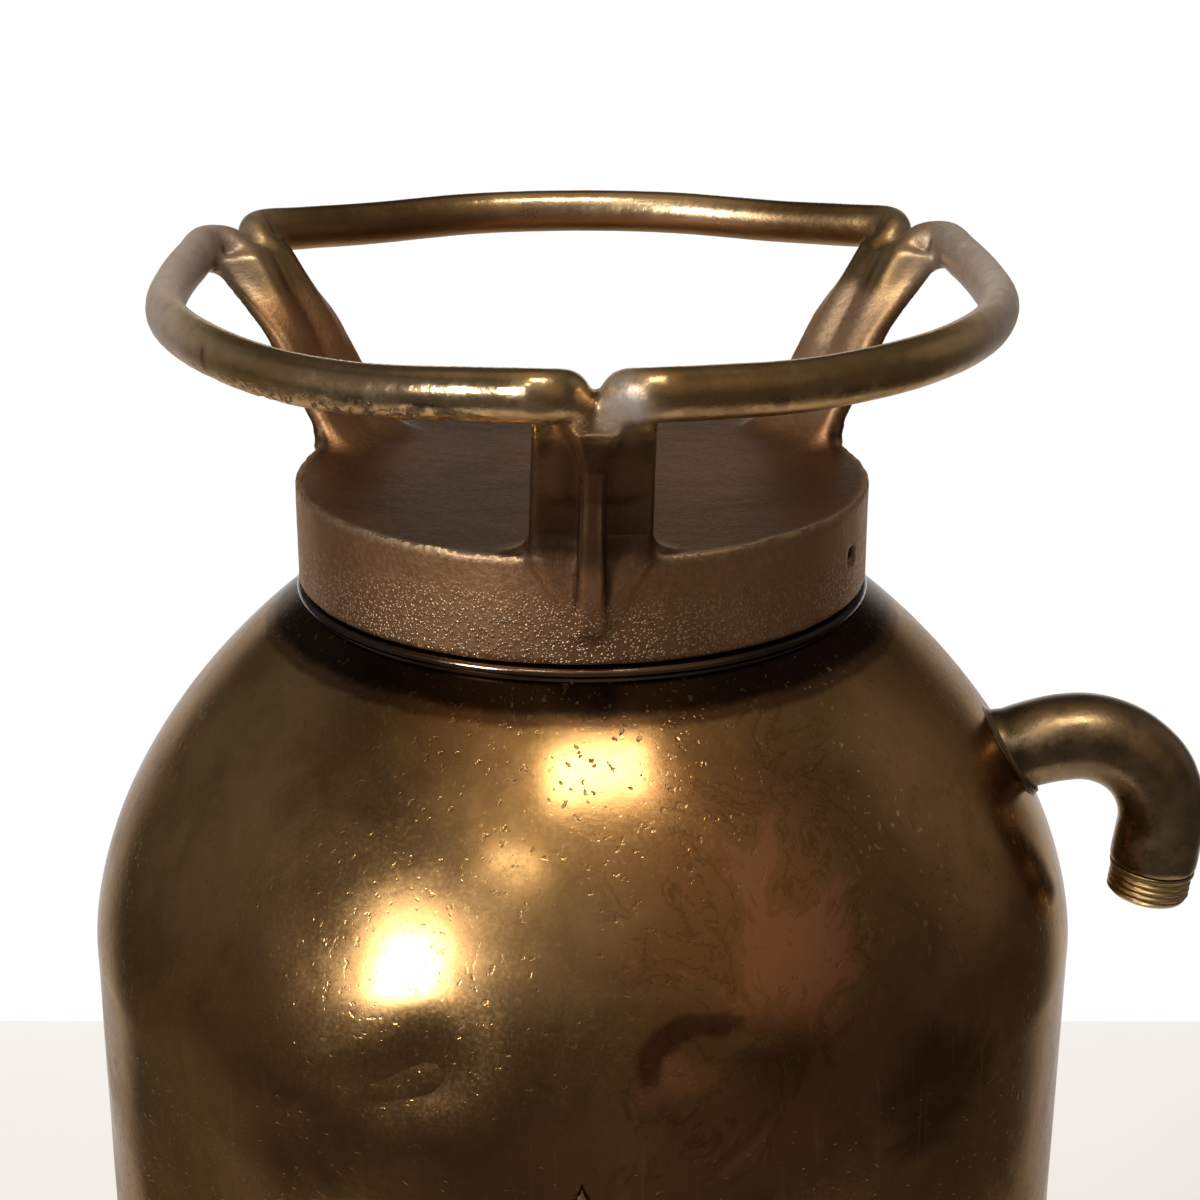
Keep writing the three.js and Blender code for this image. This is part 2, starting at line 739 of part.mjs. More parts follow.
const materials = {
  copper: { color: 0x6b4a22, roughness: 0.28, metalness: 1 },
  bronze: { color: 0x7a5330, roughness: 0.45, metalness: 1 },
  brass: { color: 0x9a7a3a, roughness: 0.35, metalness: 1 },
  rubber: { color: 0x1c1a18, roughness: 0.8, metalness: 0 },
  glass: { color: 0xbfd2c4, roughness: 0.05, metalness: 0 },
  lead: { color: 0x63666a, roughness: 0.6, metalness: 1 },
};
for (const name in materials) materials[name] = new THREE.MeshStandardMaterial(materials[name]);

const vessel = new THREE.Group();
const outlet = new THREE.Group();
outlet.rotation.z = OUTLET_AZIMUTH;
vessel.add(outlet);
const closure = new THREE.Group();
const charge = new THREE.Group();

function piece(group, name, geometry, material) {
  const mesh = new THREE.Mesh(geometry, materials[material]);
  mesh.name = name;
  group.add(mesh);
}

let shell = shellSolid();
let band = toSolid(footBandGeometry());
let grip = toSolid(gripGeometry());
for (const place of rivetPlaces) {
  const hole = rivetHole(place);
  shell = shell.subtract(hole);
  band = band.subtract(hole);
  grip = grip.subtract(hole);
}
const outletHole = bar(alongOutlet(-3 * CUT), alongOutlet(2 * CUT), TUBE_R + GAP, 20);
shell = shell.subtract(toSolid(outletHole.rotateZ(OUTLET_AZIMUTH)));

piece(vessel, "body_shell", toGeometry(shell), "copper");
piece(vessel, "bottom_head", bottomHeadGeometry(), "copper");
piece(vessel, "foot_band", toGeometry(band), "brass");
piece(vessel, "base_grip", toGeometry(grip), "brass");
rivetPlaces.forEach((place, i) => piece(vessel, `grip_rivet_${i + 1}`, gripRivetGeometry(place), "brass"));
piece(vessel, "neck_collar", collarGeometry(), "bronze");
piece(outlet, "outlet_flange", toGeometry(flangeSolid()), "brass");
piece(outlet, "outlet_elbow", toGeometry(elbowSolid()), "brass");
piece(outlet, "outlet_spigot", spigotGeometry(), "brass");
piece(outlet, "outlet_strainer", toGeometry(strainerSolid()), "brass");
piece(vessel, "name_plate", toGeometry(plateSolid()), "brass");

piece(closure, "cap_casting", toGeometry(capSolid()), "bronze");
piece(closure, "cap_gasket", gasketGeometry(), "rubber");

piece(charge, "cage_ring", toGeometry(cageRingSolid()), "brass");
piece(charge, "cage_cup", toGeometry(cageCupSolid()), "brass");
strapAzimuths.forEach((azimuth, i) => {
  piece(charge, `cage_strap_${i + 1}`, toGeometry(cageStrapSolid(azimuth)), "brass");
  piece(charge, `ring_rivet_${i + 1}`, ringRivetGeometry(azimuth), "brass");
  piece(charge, `cup_rivet_${i + 1}`, cupRivetGeometry(azimuth), "brass");
});
piece(charge, "acid_bottle", bottleGeometry(), "glass");
piece(charge, "acid_stopper", stopperGeometry(), "lead");

const extinguisher = new THREE.Group();
extinguisher.add(vessel, closure, charge);

export default extinguisher;
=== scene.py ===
"""Soda-acid fire extinguisher: its looks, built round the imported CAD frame.

Shapes are worked out in millimetres, in the row frame, and written in metres. Height zero is the floor.
"""

from functools import partialmethod
from math import acos, copysign, cos, pi, radians, sin, sqrt

import bpy
import numpy as np
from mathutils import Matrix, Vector, noise


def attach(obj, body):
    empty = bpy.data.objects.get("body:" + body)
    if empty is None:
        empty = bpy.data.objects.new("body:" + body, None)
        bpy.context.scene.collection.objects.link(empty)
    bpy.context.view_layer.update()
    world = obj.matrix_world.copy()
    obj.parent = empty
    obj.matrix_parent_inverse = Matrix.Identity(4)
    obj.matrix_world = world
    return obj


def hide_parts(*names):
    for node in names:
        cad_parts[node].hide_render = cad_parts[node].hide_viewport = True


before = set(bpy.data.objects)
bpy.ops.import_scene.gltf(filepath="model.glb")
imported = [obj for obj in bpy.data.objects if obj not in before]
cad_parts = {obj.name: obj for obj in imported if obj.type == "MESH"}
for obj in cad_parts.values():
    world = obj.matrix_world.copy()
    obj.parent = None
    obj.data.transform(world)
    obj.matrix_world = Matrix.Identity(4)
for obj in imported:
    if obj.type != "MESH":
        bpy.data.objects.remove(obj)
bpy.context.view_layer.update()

MM = 0.001
CAP_TOP = 573.0
COLLAR_TOP = CAP_TOP - 10
SEAT_Z = CAP_TOP - 13.3  # the recess in the collar that the cage ring lies in
SEAT_R = 41
NECK_THREAD_R = 46
NECK_HOLE_R = 48
CAGE_BOTTOM = CAP_TOP - 169
BODY_R = 88.9
SKIN_GAP = 0.35  # between the shell and what lies on it
SHOULDER_Z = CAP_TOP - 82.7
DOME_H = 82.3
DOME_POWER = 1.686
CAP_R = 49.85
CAP_H = 17.2
CAP_BORE_R = 46.5
CEILING = -6.0  # heights in the cap casting are counted from the cap's top
VENT_Z = -8.5
VENT_R = 1.5
FIRST_LEG = radians(-88.4)
RING_R = 70.1
RING_H = 32.2
RING_LEAN = 0.019
THREAD_PITCH = 3.175
OUTLET_AZIMUTH = radians(-4.5)
ELBOW_RISE = radians(8)
ELBOW_OVERBEND = radians(6)
ELBOW_RUN = 11.0
ELBOW_BEND_R = 15.4
ELBOW_DROP = 7.2
TUBE_R = 7.75
TUBE_BORE_R = 5.6


# ---- Numbers ----


def ramp(low, high, x):
    """A smooth ramp from 0 at low to 1 at high."""
    t = np.clip((x - low) / (high - low), 0, 1)
    return t * t * (3 - 2 * t)


def smooth_min(a, b, reach):
    """The smaller of two distances, with a fillet where they meet."""
    h = np.clip(0.5 + 0.5 * (b - a) / reach, 0, 1)
    return b + (a - b) * h - reach * h * (1 - h)


def bump_at(x, middle, width):
    """A smooth hump of height 1."""
    return np.exp(-(((x - middle) / width) ** 2))


def noise_at(points, size, shift=0.0):
    """Perlin noise of each point, about -0.5 to 0.5, for features of that size in millimetres."""
    scaled = np.asarray(points, float) / size + shift
    return np.array([noise.noise(Vector(p)) for p in scaled])


def polar(points):
    """Each point's radius, azimuth and height."""
    x, y, z = points.T
    return np.hypot(x, y), np.arctan2(y, x), z


# ---- Meshes ----


def new_object(name, data):
    thing = bpy.data.objects.new(name, data)
    bpy.context.scene.collection.objects.link(thing)
    return thing


def add_piece(name, shape, look, nodes, body="vessel", sharp=38.0):
    """A smooth-shaded piece that rides on a CAD body and stands for CAD nodes."""
    points, faces = shape
    mesh = bpy.data.meshes.new(name)
    mesh.from_pydata((np.asarray(points, float) * MM).tolist(), [], faces)
    mesh.validate()
    mesh.shade_smooth()
    mesh.set_sharp_from_angle(angle=radians(sharp))
    mesh.materials.append(look)
    piece = new_object(name, mesh)
    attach(piece, body)
    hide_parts(*nodes)
    return piece


def dress(node, look):
    """Gives a carried-over CAD node its material."""
    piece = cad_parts[node]
    piece.data.materials.clear()
    piece.data.materials.append(look)
    return piece


def paint(piece, name, values):
    """Stores a number for each vertex, which the piece's material reads."""
    attribute = piece.data.attributes.new(name, "FLOAT", "POINT")
    attribute.data.foreach_set("value", np.asarray(values, np.float32))


def eased(corners, steps=4):
    """A closed profile of (r, z) or (r, z, size) corners. A corner with a size is rounded off."""
    out = []
    count = len(corners)
    for i, corner in enumerate(corners):
        here = np.array(corner[:2], float)
        if len(corner) < 3:
            out.append(here)
            continue
        before = np.array(corners[i - 1][:2], float) - here
        after = np.array(corners[(i + 1) % count][:2], float) - here
        start = here + before / np.linalg.norm(before) * corner[2]
        end = here + after / np.linalg.norm(after) * corner[2]
        for t in np.linspace(0, 1, steps + 1):
            out.append((1 - t) ** 2 * start + 2 * t * (1 - t) * here + t * t * end)
    return out


def banded(rows):
    """Faces between each ring of vertices and the next, and between the last and the first."""
    faces = []
    for low, high in zip(rows, rows[1:] + rows[:1]):
        for i in range(len(low)):
            j = (i + 1) % len(low)
            ring = [low[i], low[j], high[j], high[i]]
            face = [v for k, v in enumerate(ring) if v != ring[k - 1]]
            if len(face) > 2:
                faces.append(face)
    return faces


def lifted(profile, height):
    """A profile's corners, with its heights counted from another level."""
    return [(r, z + height, *size) for r, z, *size in profile]


def lathe(profile, segments):
    """Turns a closed profile about +Z. It runs anticlockwise with r to the right and z up."""
    angles = np.linspace(0, 2 * pi, segments, endpoint=False)
    points, rows = [], []
    for r, z in profile:
        if r < 1e-6:
            rows.append([len(points)] * segments)
            points.append((0.0, 0.0, z))
            continue
        rows.append(list(range(len(points), len(points) + segments)))
        points += [(r * cos(a), r * sin(a), z) for a in angles]
    return np.array(points), banded(rows)


def turn_to(points, origin, axis, side):
    """Moves points from a local frame, whose z runs along axis and whose x lies along side."""
    axis = np.array(axis, float) / np.linalg.norm(axis)
    side = np.array(side, float) - axis * np.dot(side, axis)
    side /= np.linalg.norm(side)
    return origin + points @ np.stack([side, np.cross(axis, side), axis])


def about_z(points, angle):
    c, s = cos(angle), sin(angle)
    return np.asarray(points) @ np.array([[c, s, 0], [-s, c, 0], [0, 0, 1.0]])


# ---- Surfaces of distance fields ----

CORNERS = [tuple((c >> axis) & 1 for axis in range(3)) for c in range(8)]
EDGES = [(a, b) for a in range(8) for b in range(a + 1, 8) if bin(a ^ b).count("1") == 1]


def surface(field, low, high, step, settle=2):
    """Vertices and quads of the surface where field(points) is 0. It is negative inside.

    The field is sampled on a grid, but only in blocks near the surface. Then each vertex is moved
    down the field's slope on to the surface.
    """
    low, high, step = (np.array(v, float) for v in (low, high, step))
    block = 4
    blocks = np.ceil((high - low) / (step * block)).astype(int)
    centres = np.stack(np.meshgrid(*[np.arange(n) for n in blocks], indexing="ij"), -1)
    middle = low + (centres * block + (block - 1) / 2) * step
    rough = field(middle.reshape(-1, 3)).reshape(blocks)
    near = np.abs(rough) < 1.4 * np.linalg.norm(step) * block / 2
    grid, wanted = (a.repeat(block, 0).repeat(block, 1).repeat(block, 2) for a in (rough, near))
    wanted = np.argwhere(wanted)
    for part in np.array_split(wanted, max(1, len(wanted) // 200000)):
        grid[tuple(part.T)] = field(low + part * step)

    inside = grid < 0
    size = np.array(grid.shape) - 1
    count = sum(
        inside[i : size[0] + i, j : size[1] + j, k : size[2] + k].astype(np.int8) for i, j, k in CORNERS
    )
    cells = np.argwhere((count > 0) & (count < 8))
    values = np.stack([grid[tuple((cells + c).T)] for c in CORNERS])
    total = np.zeros((len(cells), 3))
    crossings = np.zeros(len(cells))
    for a, b in EDGES:
        cut = (values[a] < 0) != (values[b] < 0)
        t = values[a][cut] / (values[a][cut] - values[b][cut])
        start = np.array(CORNERS[a])
        total[cut] += start + t[:, None] * (np.array(CORNERS[b]) - start)
        crossings[cut] += 1
    points = low + (cells + total / crossings[:, None]) * step

    index = np.full(size, -1)
    index[tuple(cells.T)] = np.arange(len(cells))
    quads = []
    for axis in range(3):
        u, v = np.eye(3, dtype=int)[(axis + 1) % 3], np.eye(3, dtype=int)[(axis + 2) % 3]
        ahead = [slice(1, -1)] * 3
        ahead[axis] = slice(1, None)
        behind = [slice(1, -1)] * 3
        behind[axis] = slice(None, -1)
        first, second = inside[tuple(behind)], inside[tuple(ahead)]
        for leaving in (True, False):
            at = np.argwhere((first == leaving) & (second != leaving)) + 1
            at[:, axis] -= 1
            loop = [at - u - v, at - v, at, at - u]
            quad = np.stack([index[tuple(c.T)] for c in loop], 1)
            quads.append(quad if leaving else quad[:, ::-1])
    for _ in range(settle):
        slope = gradient(field, points, 0.05)
        steep = np.maximum((slope**2).sum(1), 0.2)
        shift = -slope * (field(points) / steep)[:, None]
        length = np.maximum(np.linalg.norm(shift, axis=1, keepdims=True), 1e-9)
        points = points + shift * np.minimum(1, 0.4 * step.max() / length)
    return points, np.concatenate(quads).tolist()


def gradient(field, points, reach):
    out = np.zeros_like(points)
    for axis in range(3):
        offset = np.zeros(3)
        offset[axis] = reach
        out[:, axis] = (field(points + offset) - field(points - offset)) / (2 * reach)
    return out


def rounded_box(offsets, halves, size):
    """Distance to a box with rounded edges, from each point's offsets to its middle planes."""
    q = [np.abs(o) - (h - size) for o, h in zip(offsets, halves)]
    outside = np.sqrt(sum(np.maximum(a, 0) ** 2 for a in q))
    return outside + np.minimum(np.maximum.reduce(q), 0) - size


def polygon_distance(x, y, corners):
    """Distance to a closed outline. It is negative inside."""
    best = np.full(x.shape, 1e9)
    inside = np.zeros(x.shape, bool)
    for (ax, ay), (bx, by) in zip(corners, corners[1:] + corners[:1]):
        ex, ey = bx - ax, by - ay
        t = np.clip(((x - ax) * ex + (y - ay) * ey) / (ex * ex + ey * ey), 0, 1)
        best = np.minimum(best, (x - ax - t * ex) ** 2 + (y - ay - t * ey) ** 2)
        if ay != by:
            inside ^= ((ay > y) != (by > y)) & (x < ax + ex * (y - ay) / ey)
    return np.where(inside, -1, 1) * np.sqrt(best)


def bar_distance(points, path, radii):
    """Distance to a round bar along a path, whose radius changes along it."""
    best = np.full(len(points), 1e9)
    for a, b, start, end in zip(path[:-1], path[1:], radii[:-1], radii[1:]):
        e = b - a
        t = np.clip((points - a) @ e / (e @ e), 0, 1)
        gap = points - a - t[:, None] * e
        best = np.minimum(best, np.sqrt((gap**2).sum(1)) - start - t * (end - start))
    return best


def through_points(points, steps):
    """A centripetal Catmull-Rom curve through the points."""
    points = np.array(points, float)
    points = np.vstack([2 * points[0] - points[1], points, 2 * points[-1] - points[-2]])
    out = []
    for i in range(1, len(points) - 2):
        p = points[i - 1 : i + 3]
        d = [max(1e-4, np.linalg.norm(b - a) ** 0.5) for a, b in zip(p, p[1:])]
        t1 = (p[1] - p[0]) / d[0] - (p[2] - p[0]) / (d[0] + d[1]) + (p[2] - p[1]) / d[1]
        t2 = (p[2] - p[1]) / d[1] - (p[3] - p[1]) / (d[1] + d[2]) + (p[3] - p[2]) / d[2]
        t1, t2 = t1 * d[1], t2 * d[1]
        for t in np.linspace(0, 1, steps, endpoint=False):
            a, b = 2 * t**3 - 3 * t**2 + 1, t**3 - 2 * t**2 + t
            out.append(a * p[1] + b * t1 + (1 - a) * p[2] + (t**3 - t**2) * t2)
    out.append(points[-2])
    return np.array(out)


# ---- Looks ----


class Nodes:
    """A node tree. An input takes a number, a colour or a vector, or another node's output."""

    def __init__(self, tree):
        self.tree = tree

    def node(self, kind, inputs, **settings):
        made = self.tree.nodes.new("ShaderNode" + kind)
        for name, value in settings.items():
            setattr(made, name, value)
        for socket, value in inputs.items():
            self.set(made.inputs[socket], value)
        return made

    def set(self, socket, value):
        if isinstance(value, bpy.types.NodeSocket):
            self.tree.links.new(value, socket)
        elif isinstance(value, tuple):
            socket.default_value = (*value, 1.0) if len(socket.default_value) > len(value) else value
        else:
            socket.default_value = value

    def band(self, value, low, high, bottom=0.0, top=1.0):
        """A number that goes smoothly from bottom to top while the value goes from low to high."""
        inputs = {"Value": value, "From Min": low, "From Max": high, "To Min": bottom, "To Max": top}
        return self.node("MapRange", inputs, interpolation_type="SMOOTHSTEP").outputs["Result"]

    def vector(self, operation, a, b, second=1, output="Vector"):
        return self.node("VectorMath", {0: a, second: b}, operation=operation).outputs[output]


class Look(Nodes):
    """A procedural material on one Principled shader, in the piece's own coordinates."""

    def __init__(self, name, **inputs):
        self.material = bpy.data.materials.new(name)
        self.material.use_nodes = True
        super().__init__(self.material.node_tree)
        self.shader = self.tree.nodes["Principled BSDF"]
        self.place = self.node("TexCoord", {}).outputs["Object"]
        for socket, value in inputs.items():
            self.shade(socket.replace("_", " "), value)

    def shade(self, socket, value):
        self.set(self.shader.inputs[socket], value)

    def noise(self, scale, detail=3.0, roughness=0.55, stretch=None, distortion=0.0):
        place = self.place
        if stretch:
            place = self.node("Mapping", {"Vector": place, "Scale": stretch}).outputs[0]
        inputs = {"Vector": place, "Scale": scale, "Detail": detail}
        inputs |= {"Roughness": roughness, "Distortion": distortion}
        return self.node("TexNoise", inputs).outputs["Fac"]

    def specks(self, scale, size, share):
        """Small round dots, in a share of the cells of a grid."""
        cells = self.node("TexVoronoi", {"Vector": self.place, "Scale": scale}).outputs
        dot = self.band(cells["Distance"], size, size * 0.6)
        return self.times(dot, self.band(cells["Color"], 1 - share, 1.04 - share))

    def painted(self, name):
        return self.node("Attribute", {}, attribute_name=name).outputs["Fac"]

    def math(self, operation, a, b):
        return self.node("Math", {0: a, 1: b}, operation=operation).outputs[0]

    plus = partialmethod(math, "ADD")
    minus = partialmethod(math, "SUBTRACT")
    times = partialmethod(math, "MULTIPLY")
    larger = partialmethod(math, "MAXIMUM")

    def mix(self, a, b, factor):
        """A colour that is a where the factor is 0 and b where it is 1."""
        return self.node("Mix", {"Factor": factor, 6: a, 7: b}, data_type="RGBA").outputs[2]

    def relief(self, height, depth, strength):
        inputs = {"Strength": strength, "Distance": depth, "Height": height}
        self.shade("Normal", self.node("Bump", inputs).outputs["Normal"])


def shell_look():
    """Polished copper under a brown-gold tarnish, worn to copper-red in patches, with pits and scratches,
    and a ring of painted shade round the collar under the cap.
    """
    look = Look("shell_copper", Metallic=1.0, Specular_Tint=(0.6, 0.56, 0.52))
    cloud = look.band(look.noise(16, 4, 0.6, distortion=0.6), 0.38, 0.66)
    mottle = look.band(look.noise(75, 5, 0.65, distortion=0.8), 0.42, 0.66)
    colour = look.mix((0.45, 0.265, 0.10), (0.33, 0.185, 0.075), cloud)
    colour = look.mix(colour, (0.25, 0.138, 0.056), look.times(mottle, 0.45))
    # Painted patches get ragged outlines, and islands inside them, from one fine noise.
    fine = look.minus(look.noise(62, 6, 0.66, distortion=1.2), 0.5)
    bared = look.painted("bared")
    colour = look.mix(colour, (0.43, 0.205, 0.082), look.band(bared, 0.02, 0.7, 0.0, 0.75))
    ragged = look.plus(bared, look.times(fine, 3.2))
    colour = look.mix(colour, (0.60, 0.275, 0.15), look.band(ragged, 0.72, 0.86, 0.0, 0.62))
    outline = look.minus(look.band(ragged, 0.40, 0.47), look.band(ragged, 0.49, 0.56))
    outline = look.times(outline, look.band(bared, 0.05, 0.35))
    colour = look.mix(colour, (0.13, 0.07, 0.032), look.times(outline, 0.4))
    # Tarnish patches darken the copper; where the mask passes 0.95 it is painted shade, near black, round
    # the collar under the cap's edge.
    dusky = look.plus(look.painted("tarnished"), look.times(fine, 0.9))
    colour = look.mix(colour, (0.13, 0.062, 0.03), look.band(dusky, 0.30, 0.72, 0.0, 0.8))
    colour = look.mix(colour, (0.02, 0.012, 0.007), look.band(dusky, 0.95, 1.5, 0.0, 0.9))
    streak = look.noise(1.0, 2, 0.5, stretch=(900, 900, 26))
    scratch = look.times(look.painted("scratched"), look.band(streak, 0.66, 0.70))
    colour = look.mix(colour, (0.70, 0.53, 0.27), scratch)
    speck = look.band(look.noise(900, 1, 0.5), 0.70, 0.76)
    pit = look.times(look.painted("pitted"), look.band(look.noise(620, 2, 0.5), 0.64, 0.70))
    dark = look.larger(look.times(speck, 0.25), look.times(pit, 0.55))
    look.shade("Base Color", look.mix(colour, (0.11, 0.07, 0.03), dark))
    smudge = look.noise(34, 5, 0.7, distortion=0.5)
    dull = look.band(smudge, 0.40, 0.72, 0.17, 0.27)
    grain = look.band(look.noise(1500, 2, 0.6), 0.35, 0.75, 0.0, 0.05)
    look.shade("Roughness", look.plus(look.plus(dull, grain), look.times(dark, 0.25)))
    height = look.minus(look.times(look.noise(240, 4, 0.6), 0.10), look.times(pit, 0.5))
    height = look.minus(height, look.times(scratch, 0.3))
    look.relief(height, 0.0003, 0.5)
    return look.material


def casting_look():
    """Sand-cast bronze: matt brown with painted glints low on its side, gold on the ring and its edges,
    polish and painted highlights in places, soil in its hollows and painted shade.
    """
    look = Look("bronze_casting", Metallic=1.0, Specular_Tint=(0.85, 0.8, 0.75))
    ring = look.painted("ring")
    worn = look.painted("worn")
    sunk = look.painted("sunk")
    cloud = look.band(look.noise(45, 5, 0.6, distortion=0.5), 0.36, 0.66)
    matt = look.mix((0.47, 0.255, 0.128), (0.375, 0.20, 0.096), cloud)
    # Darker on the cap's top, and painted shade on the legs' outer faces.
    aged = look.mix((0.22, 0.12, 0.06), (0.165, 0.092, 0.046), look.band(look.noise(28, 3, 0.5), 0.4, 0.6))
    matt = look.mix(matt, aged, look.painted("aged"))
    gold = look.mix((0.62, 0.42, 0.175), (0.50, 0.32, 0.13), cloud)
    # The ring's gold is fuller on its upper faces, as painted light, and weaker underneath.
    colour = look.mix(matt, gold, ring)
    colour = look.mix(colour, (0.56, 0.40, 0.235), look.times(worn, 0.75))
    # Polish and painted highlights: a pale colour where the ring and one leg's inner face catch the lamps.
    rubbed = look.painted("rubbed")
    colour = look.mix(colour, (0.80, 0.62, 0.42), look.times(rubbed, 0.45))
    grain = look.noise(1050, 3, 0.65)
    # Painted glints: bright specks, raised by the bump, where the casting's grains low on the front catch
    # the lamp.
    glint = look.larger(look.specks(1150, 0.40, 0.7), look.specks(1900, 0.44, 0.6))
    glint = look.times(look.painted("grainy"), glint)
    colour = look.mix(colour, (0.98, 0.72, 0.46), glint)
    chalk = look.band(look.noise(330, 5, 0.7), 0.34, 0.62, 0.72, 1.0)
    # Crust in the notch; at the ring's two ends the pale colour is partly crust and partly painted
    # reflection of the backdrop.
    grey = look.times(look.painted("grey"), chalk)
    colour = look.mix(colour, (0.50, 0.43, 0.385), grey)
    look.shade("Metallic", look.minus(1.0, look.times(grey, 0.62)))
    rust = look.band(look.noise(520, 5, 0.7, distortion=0.6), 0.50, 0.58)
    pocked = look.times(look.painted("pocked"), rust)
    seam = look.times(look.painted("seam"), look.band(look.noise(200, 3, 0.6), 0.42, 0.52))
    # Hollows, a crack, pocks and the seam are the casting's own dark marks; the vent, the back bar, its
    # underside and the legs' outer faces carry painted shade.
    dirt_and_shade = look.larger(look.times(sunk, 0.8), look.times(pocked, 0.75))
    dirt_and_shade = look.larger(dirt_and_shade, look.times(seam, 0.85))
    look.shade("Base Color", look.mix(colour, (0.075, 0.045, 0.026), dirt_and_shade))
    matt_rough = look.band(grain, 0.3, 0.7, 0.44, 0.56)
    ring_rough = look.band(look.noise(120, 5, 0.7, distortion=0.4), 0.36, 0.70, 0.15, 0.30)
    ring_rough = look.plus(ring_rough, look.times(grey, 0.38))
    ring_rough = look.minus(ring_rough, look.times(rubbed, 0.06))
    rough = look.plus(matt_rough, look.times(ring, look.minus(ring_rough, matt_rough)))
    rough = look.minus(rough, look.times(glint, 0.22))
    look.shade("Roughness", look.plus(rough, look.times(pocked, 0.2)))
    fine = look.times(grain, look.minus(0.75, look.times(ring, 0.6)))
    height = look.plus(look.times(look.noise(300, 4, 0.6), 0.6), fine)
    height = look.minus(height, look.times(pocked, 1.1))
    height = look.plus(height, look.times(glint, 1.6))
    crust = look.times(look.noise(420, 3, 0.6), 2.0)
    height = look.plus(height, look.times(grey, crust))
    look.relief(height, 0.00022, 0.5)
    return look.material


def metal_look(name, pale, deep, rough, size=60.0, relief=0.00008):
    """Plain metal with tarnish: two tones in clouds, near black where a piece's numbers darken it, and a
    roughness that wanders about its middle.
    """
    look = Look(name, Metallic=1.0)
    colour = look.mix(pale, deep, look.band(look.noise(size, 5, 0.6, distortion=0.4), 0.36, 0.66))
    # Near black where a piece's numbers say: painted shade on the collar's bead, and a darker root on the
    # outlet.
    look.shade("Base Color", look.mix(colour, (0.02, 0.014, 0.01), look.painted("grimy")))
    look.shade("Roughness", look.band(look.noise(size * 2.2, 4, 0.7), 0.3, 0.75, rough * 0.75, rough * 1.35))
    look.relief(look.noise(size * 9, 4, 0.6), relief, 0.6)
    return look.material


def rubber_look():
    look = Look("gasket_rubber", Metallic=0.0)
    look.shade("Base Color", look.mix((0.02, 0.019, 0.018), (0.045, 0.042, 0.04), look.noise(220, 4)))
    look.shade("Roughness", look.band(look.noise(400, 3), 0.3, 0.7, 0.6, 0.8))
    return look.material


def glass_look():
    look = Look("acid_glass", Metallic=0.0, IOR=1.5, Transmission_Weight=0.9)
    look.shade("Base Color", look.mix((0.74, 0.86, 0.79), (0.66, 0.80, 0.72), look.noise(30, 3)))
    look.shade("Roughness", look.band(look.noise(120, 4), 0.35, 0.75, 0.03, 0.14))
    return look.material


shell_copper = shell_look()
bronze_casting = casting_look()
collar_bronze = metal_look("collar_bronze", (0.36, 0.235, 0.155), (0.22, 0.14, 0.085), 0.15)
fitting_brass = metal_look("fitting_brass", (0.34, 0.235, 0.12), (0.22, 0.15, 0.085), 0.31, 90)
thread_brass = metal_look("thread_brass", (0.52, 0.37, 0.17), (0.40, 0.28, 0.13), 0.36, 140)
plate_brass = metal_look("plate_brass", (0.62, 0.47, 0.24), (0.46, 0.33, 0.15), 0.30, 90)
trim_brass = metal_look("trim_brass", (0.48, 0.34, 0.15), (0.36, 0.24, 0.10), 0.30, 50)
cage_brass = metal_look("cage_brass", (0.42, 0.32, 0.17), (0.30, 0.23, 0.13), 0.42, 80)
head_copper = metal_look("head_copper", (0.36, 0.21, 0.11), (0.25, 0.15, 0.08), 0.38, 30)
stopper_lead = metal_look("stopper_lead", (0.30, 0.31, 0.33), (0.20, 0.21, 0.22), 0.55, 90)


# ---- Shell ----


def dome_height(r, inset=0.0):
    radius = BODY_R - inset
    share = np.clip(1 - (np.asarray(r, float) / radius) ** DOME_POWER, 0, 1)
    return SHOULDER_Z + (DOME_H - inset) * share ** (1 / DOME_POWER)


def dome_profile(inset, stop_r, steps):
    radius = BODY_R - inset
    last = acos((stop_r / radius) ** (DOME_POWER / 2))
    t = np.linspace(0, last, steps + 1)
    r = radius * np.cos(t) ** (2 / DOME_POWER)
    z = SHOULDER_Z + (DOME_H - inset) * np.sin(t) ** (2 / DOME_POWER)
    return [np.array(p) for p in zip(r, z)]


# Dents: azimuth in degrees, height, half-width round the shell, half-height, depth.
DENTS = [
    (-105, 503, 8, 7, 1.2),
    (-112, 498, 9, 7, 1.2),
    (-119, 489, 10, 7, 0.8),
    (-79, 506, 9, 6, 0.75),
    (-70, 494, 14, 9, 0.8),
    (-52, 487, 13, 12, 0.8),
    (-93, 478, 14, 9, 0.5),
    (-140, 470, 14, 16, 0.5),
    (35, 440, 18, 22, 0.7),
    (120, 380, 22, 26, 0.8),
    (-160, 250, 20, 26, 0.6),
    (70, 130, 20, 22, 0.7),
    (-30, 160, 22, 20, 0.6),
    (-100, 60, 20, 14, 0.6),
]


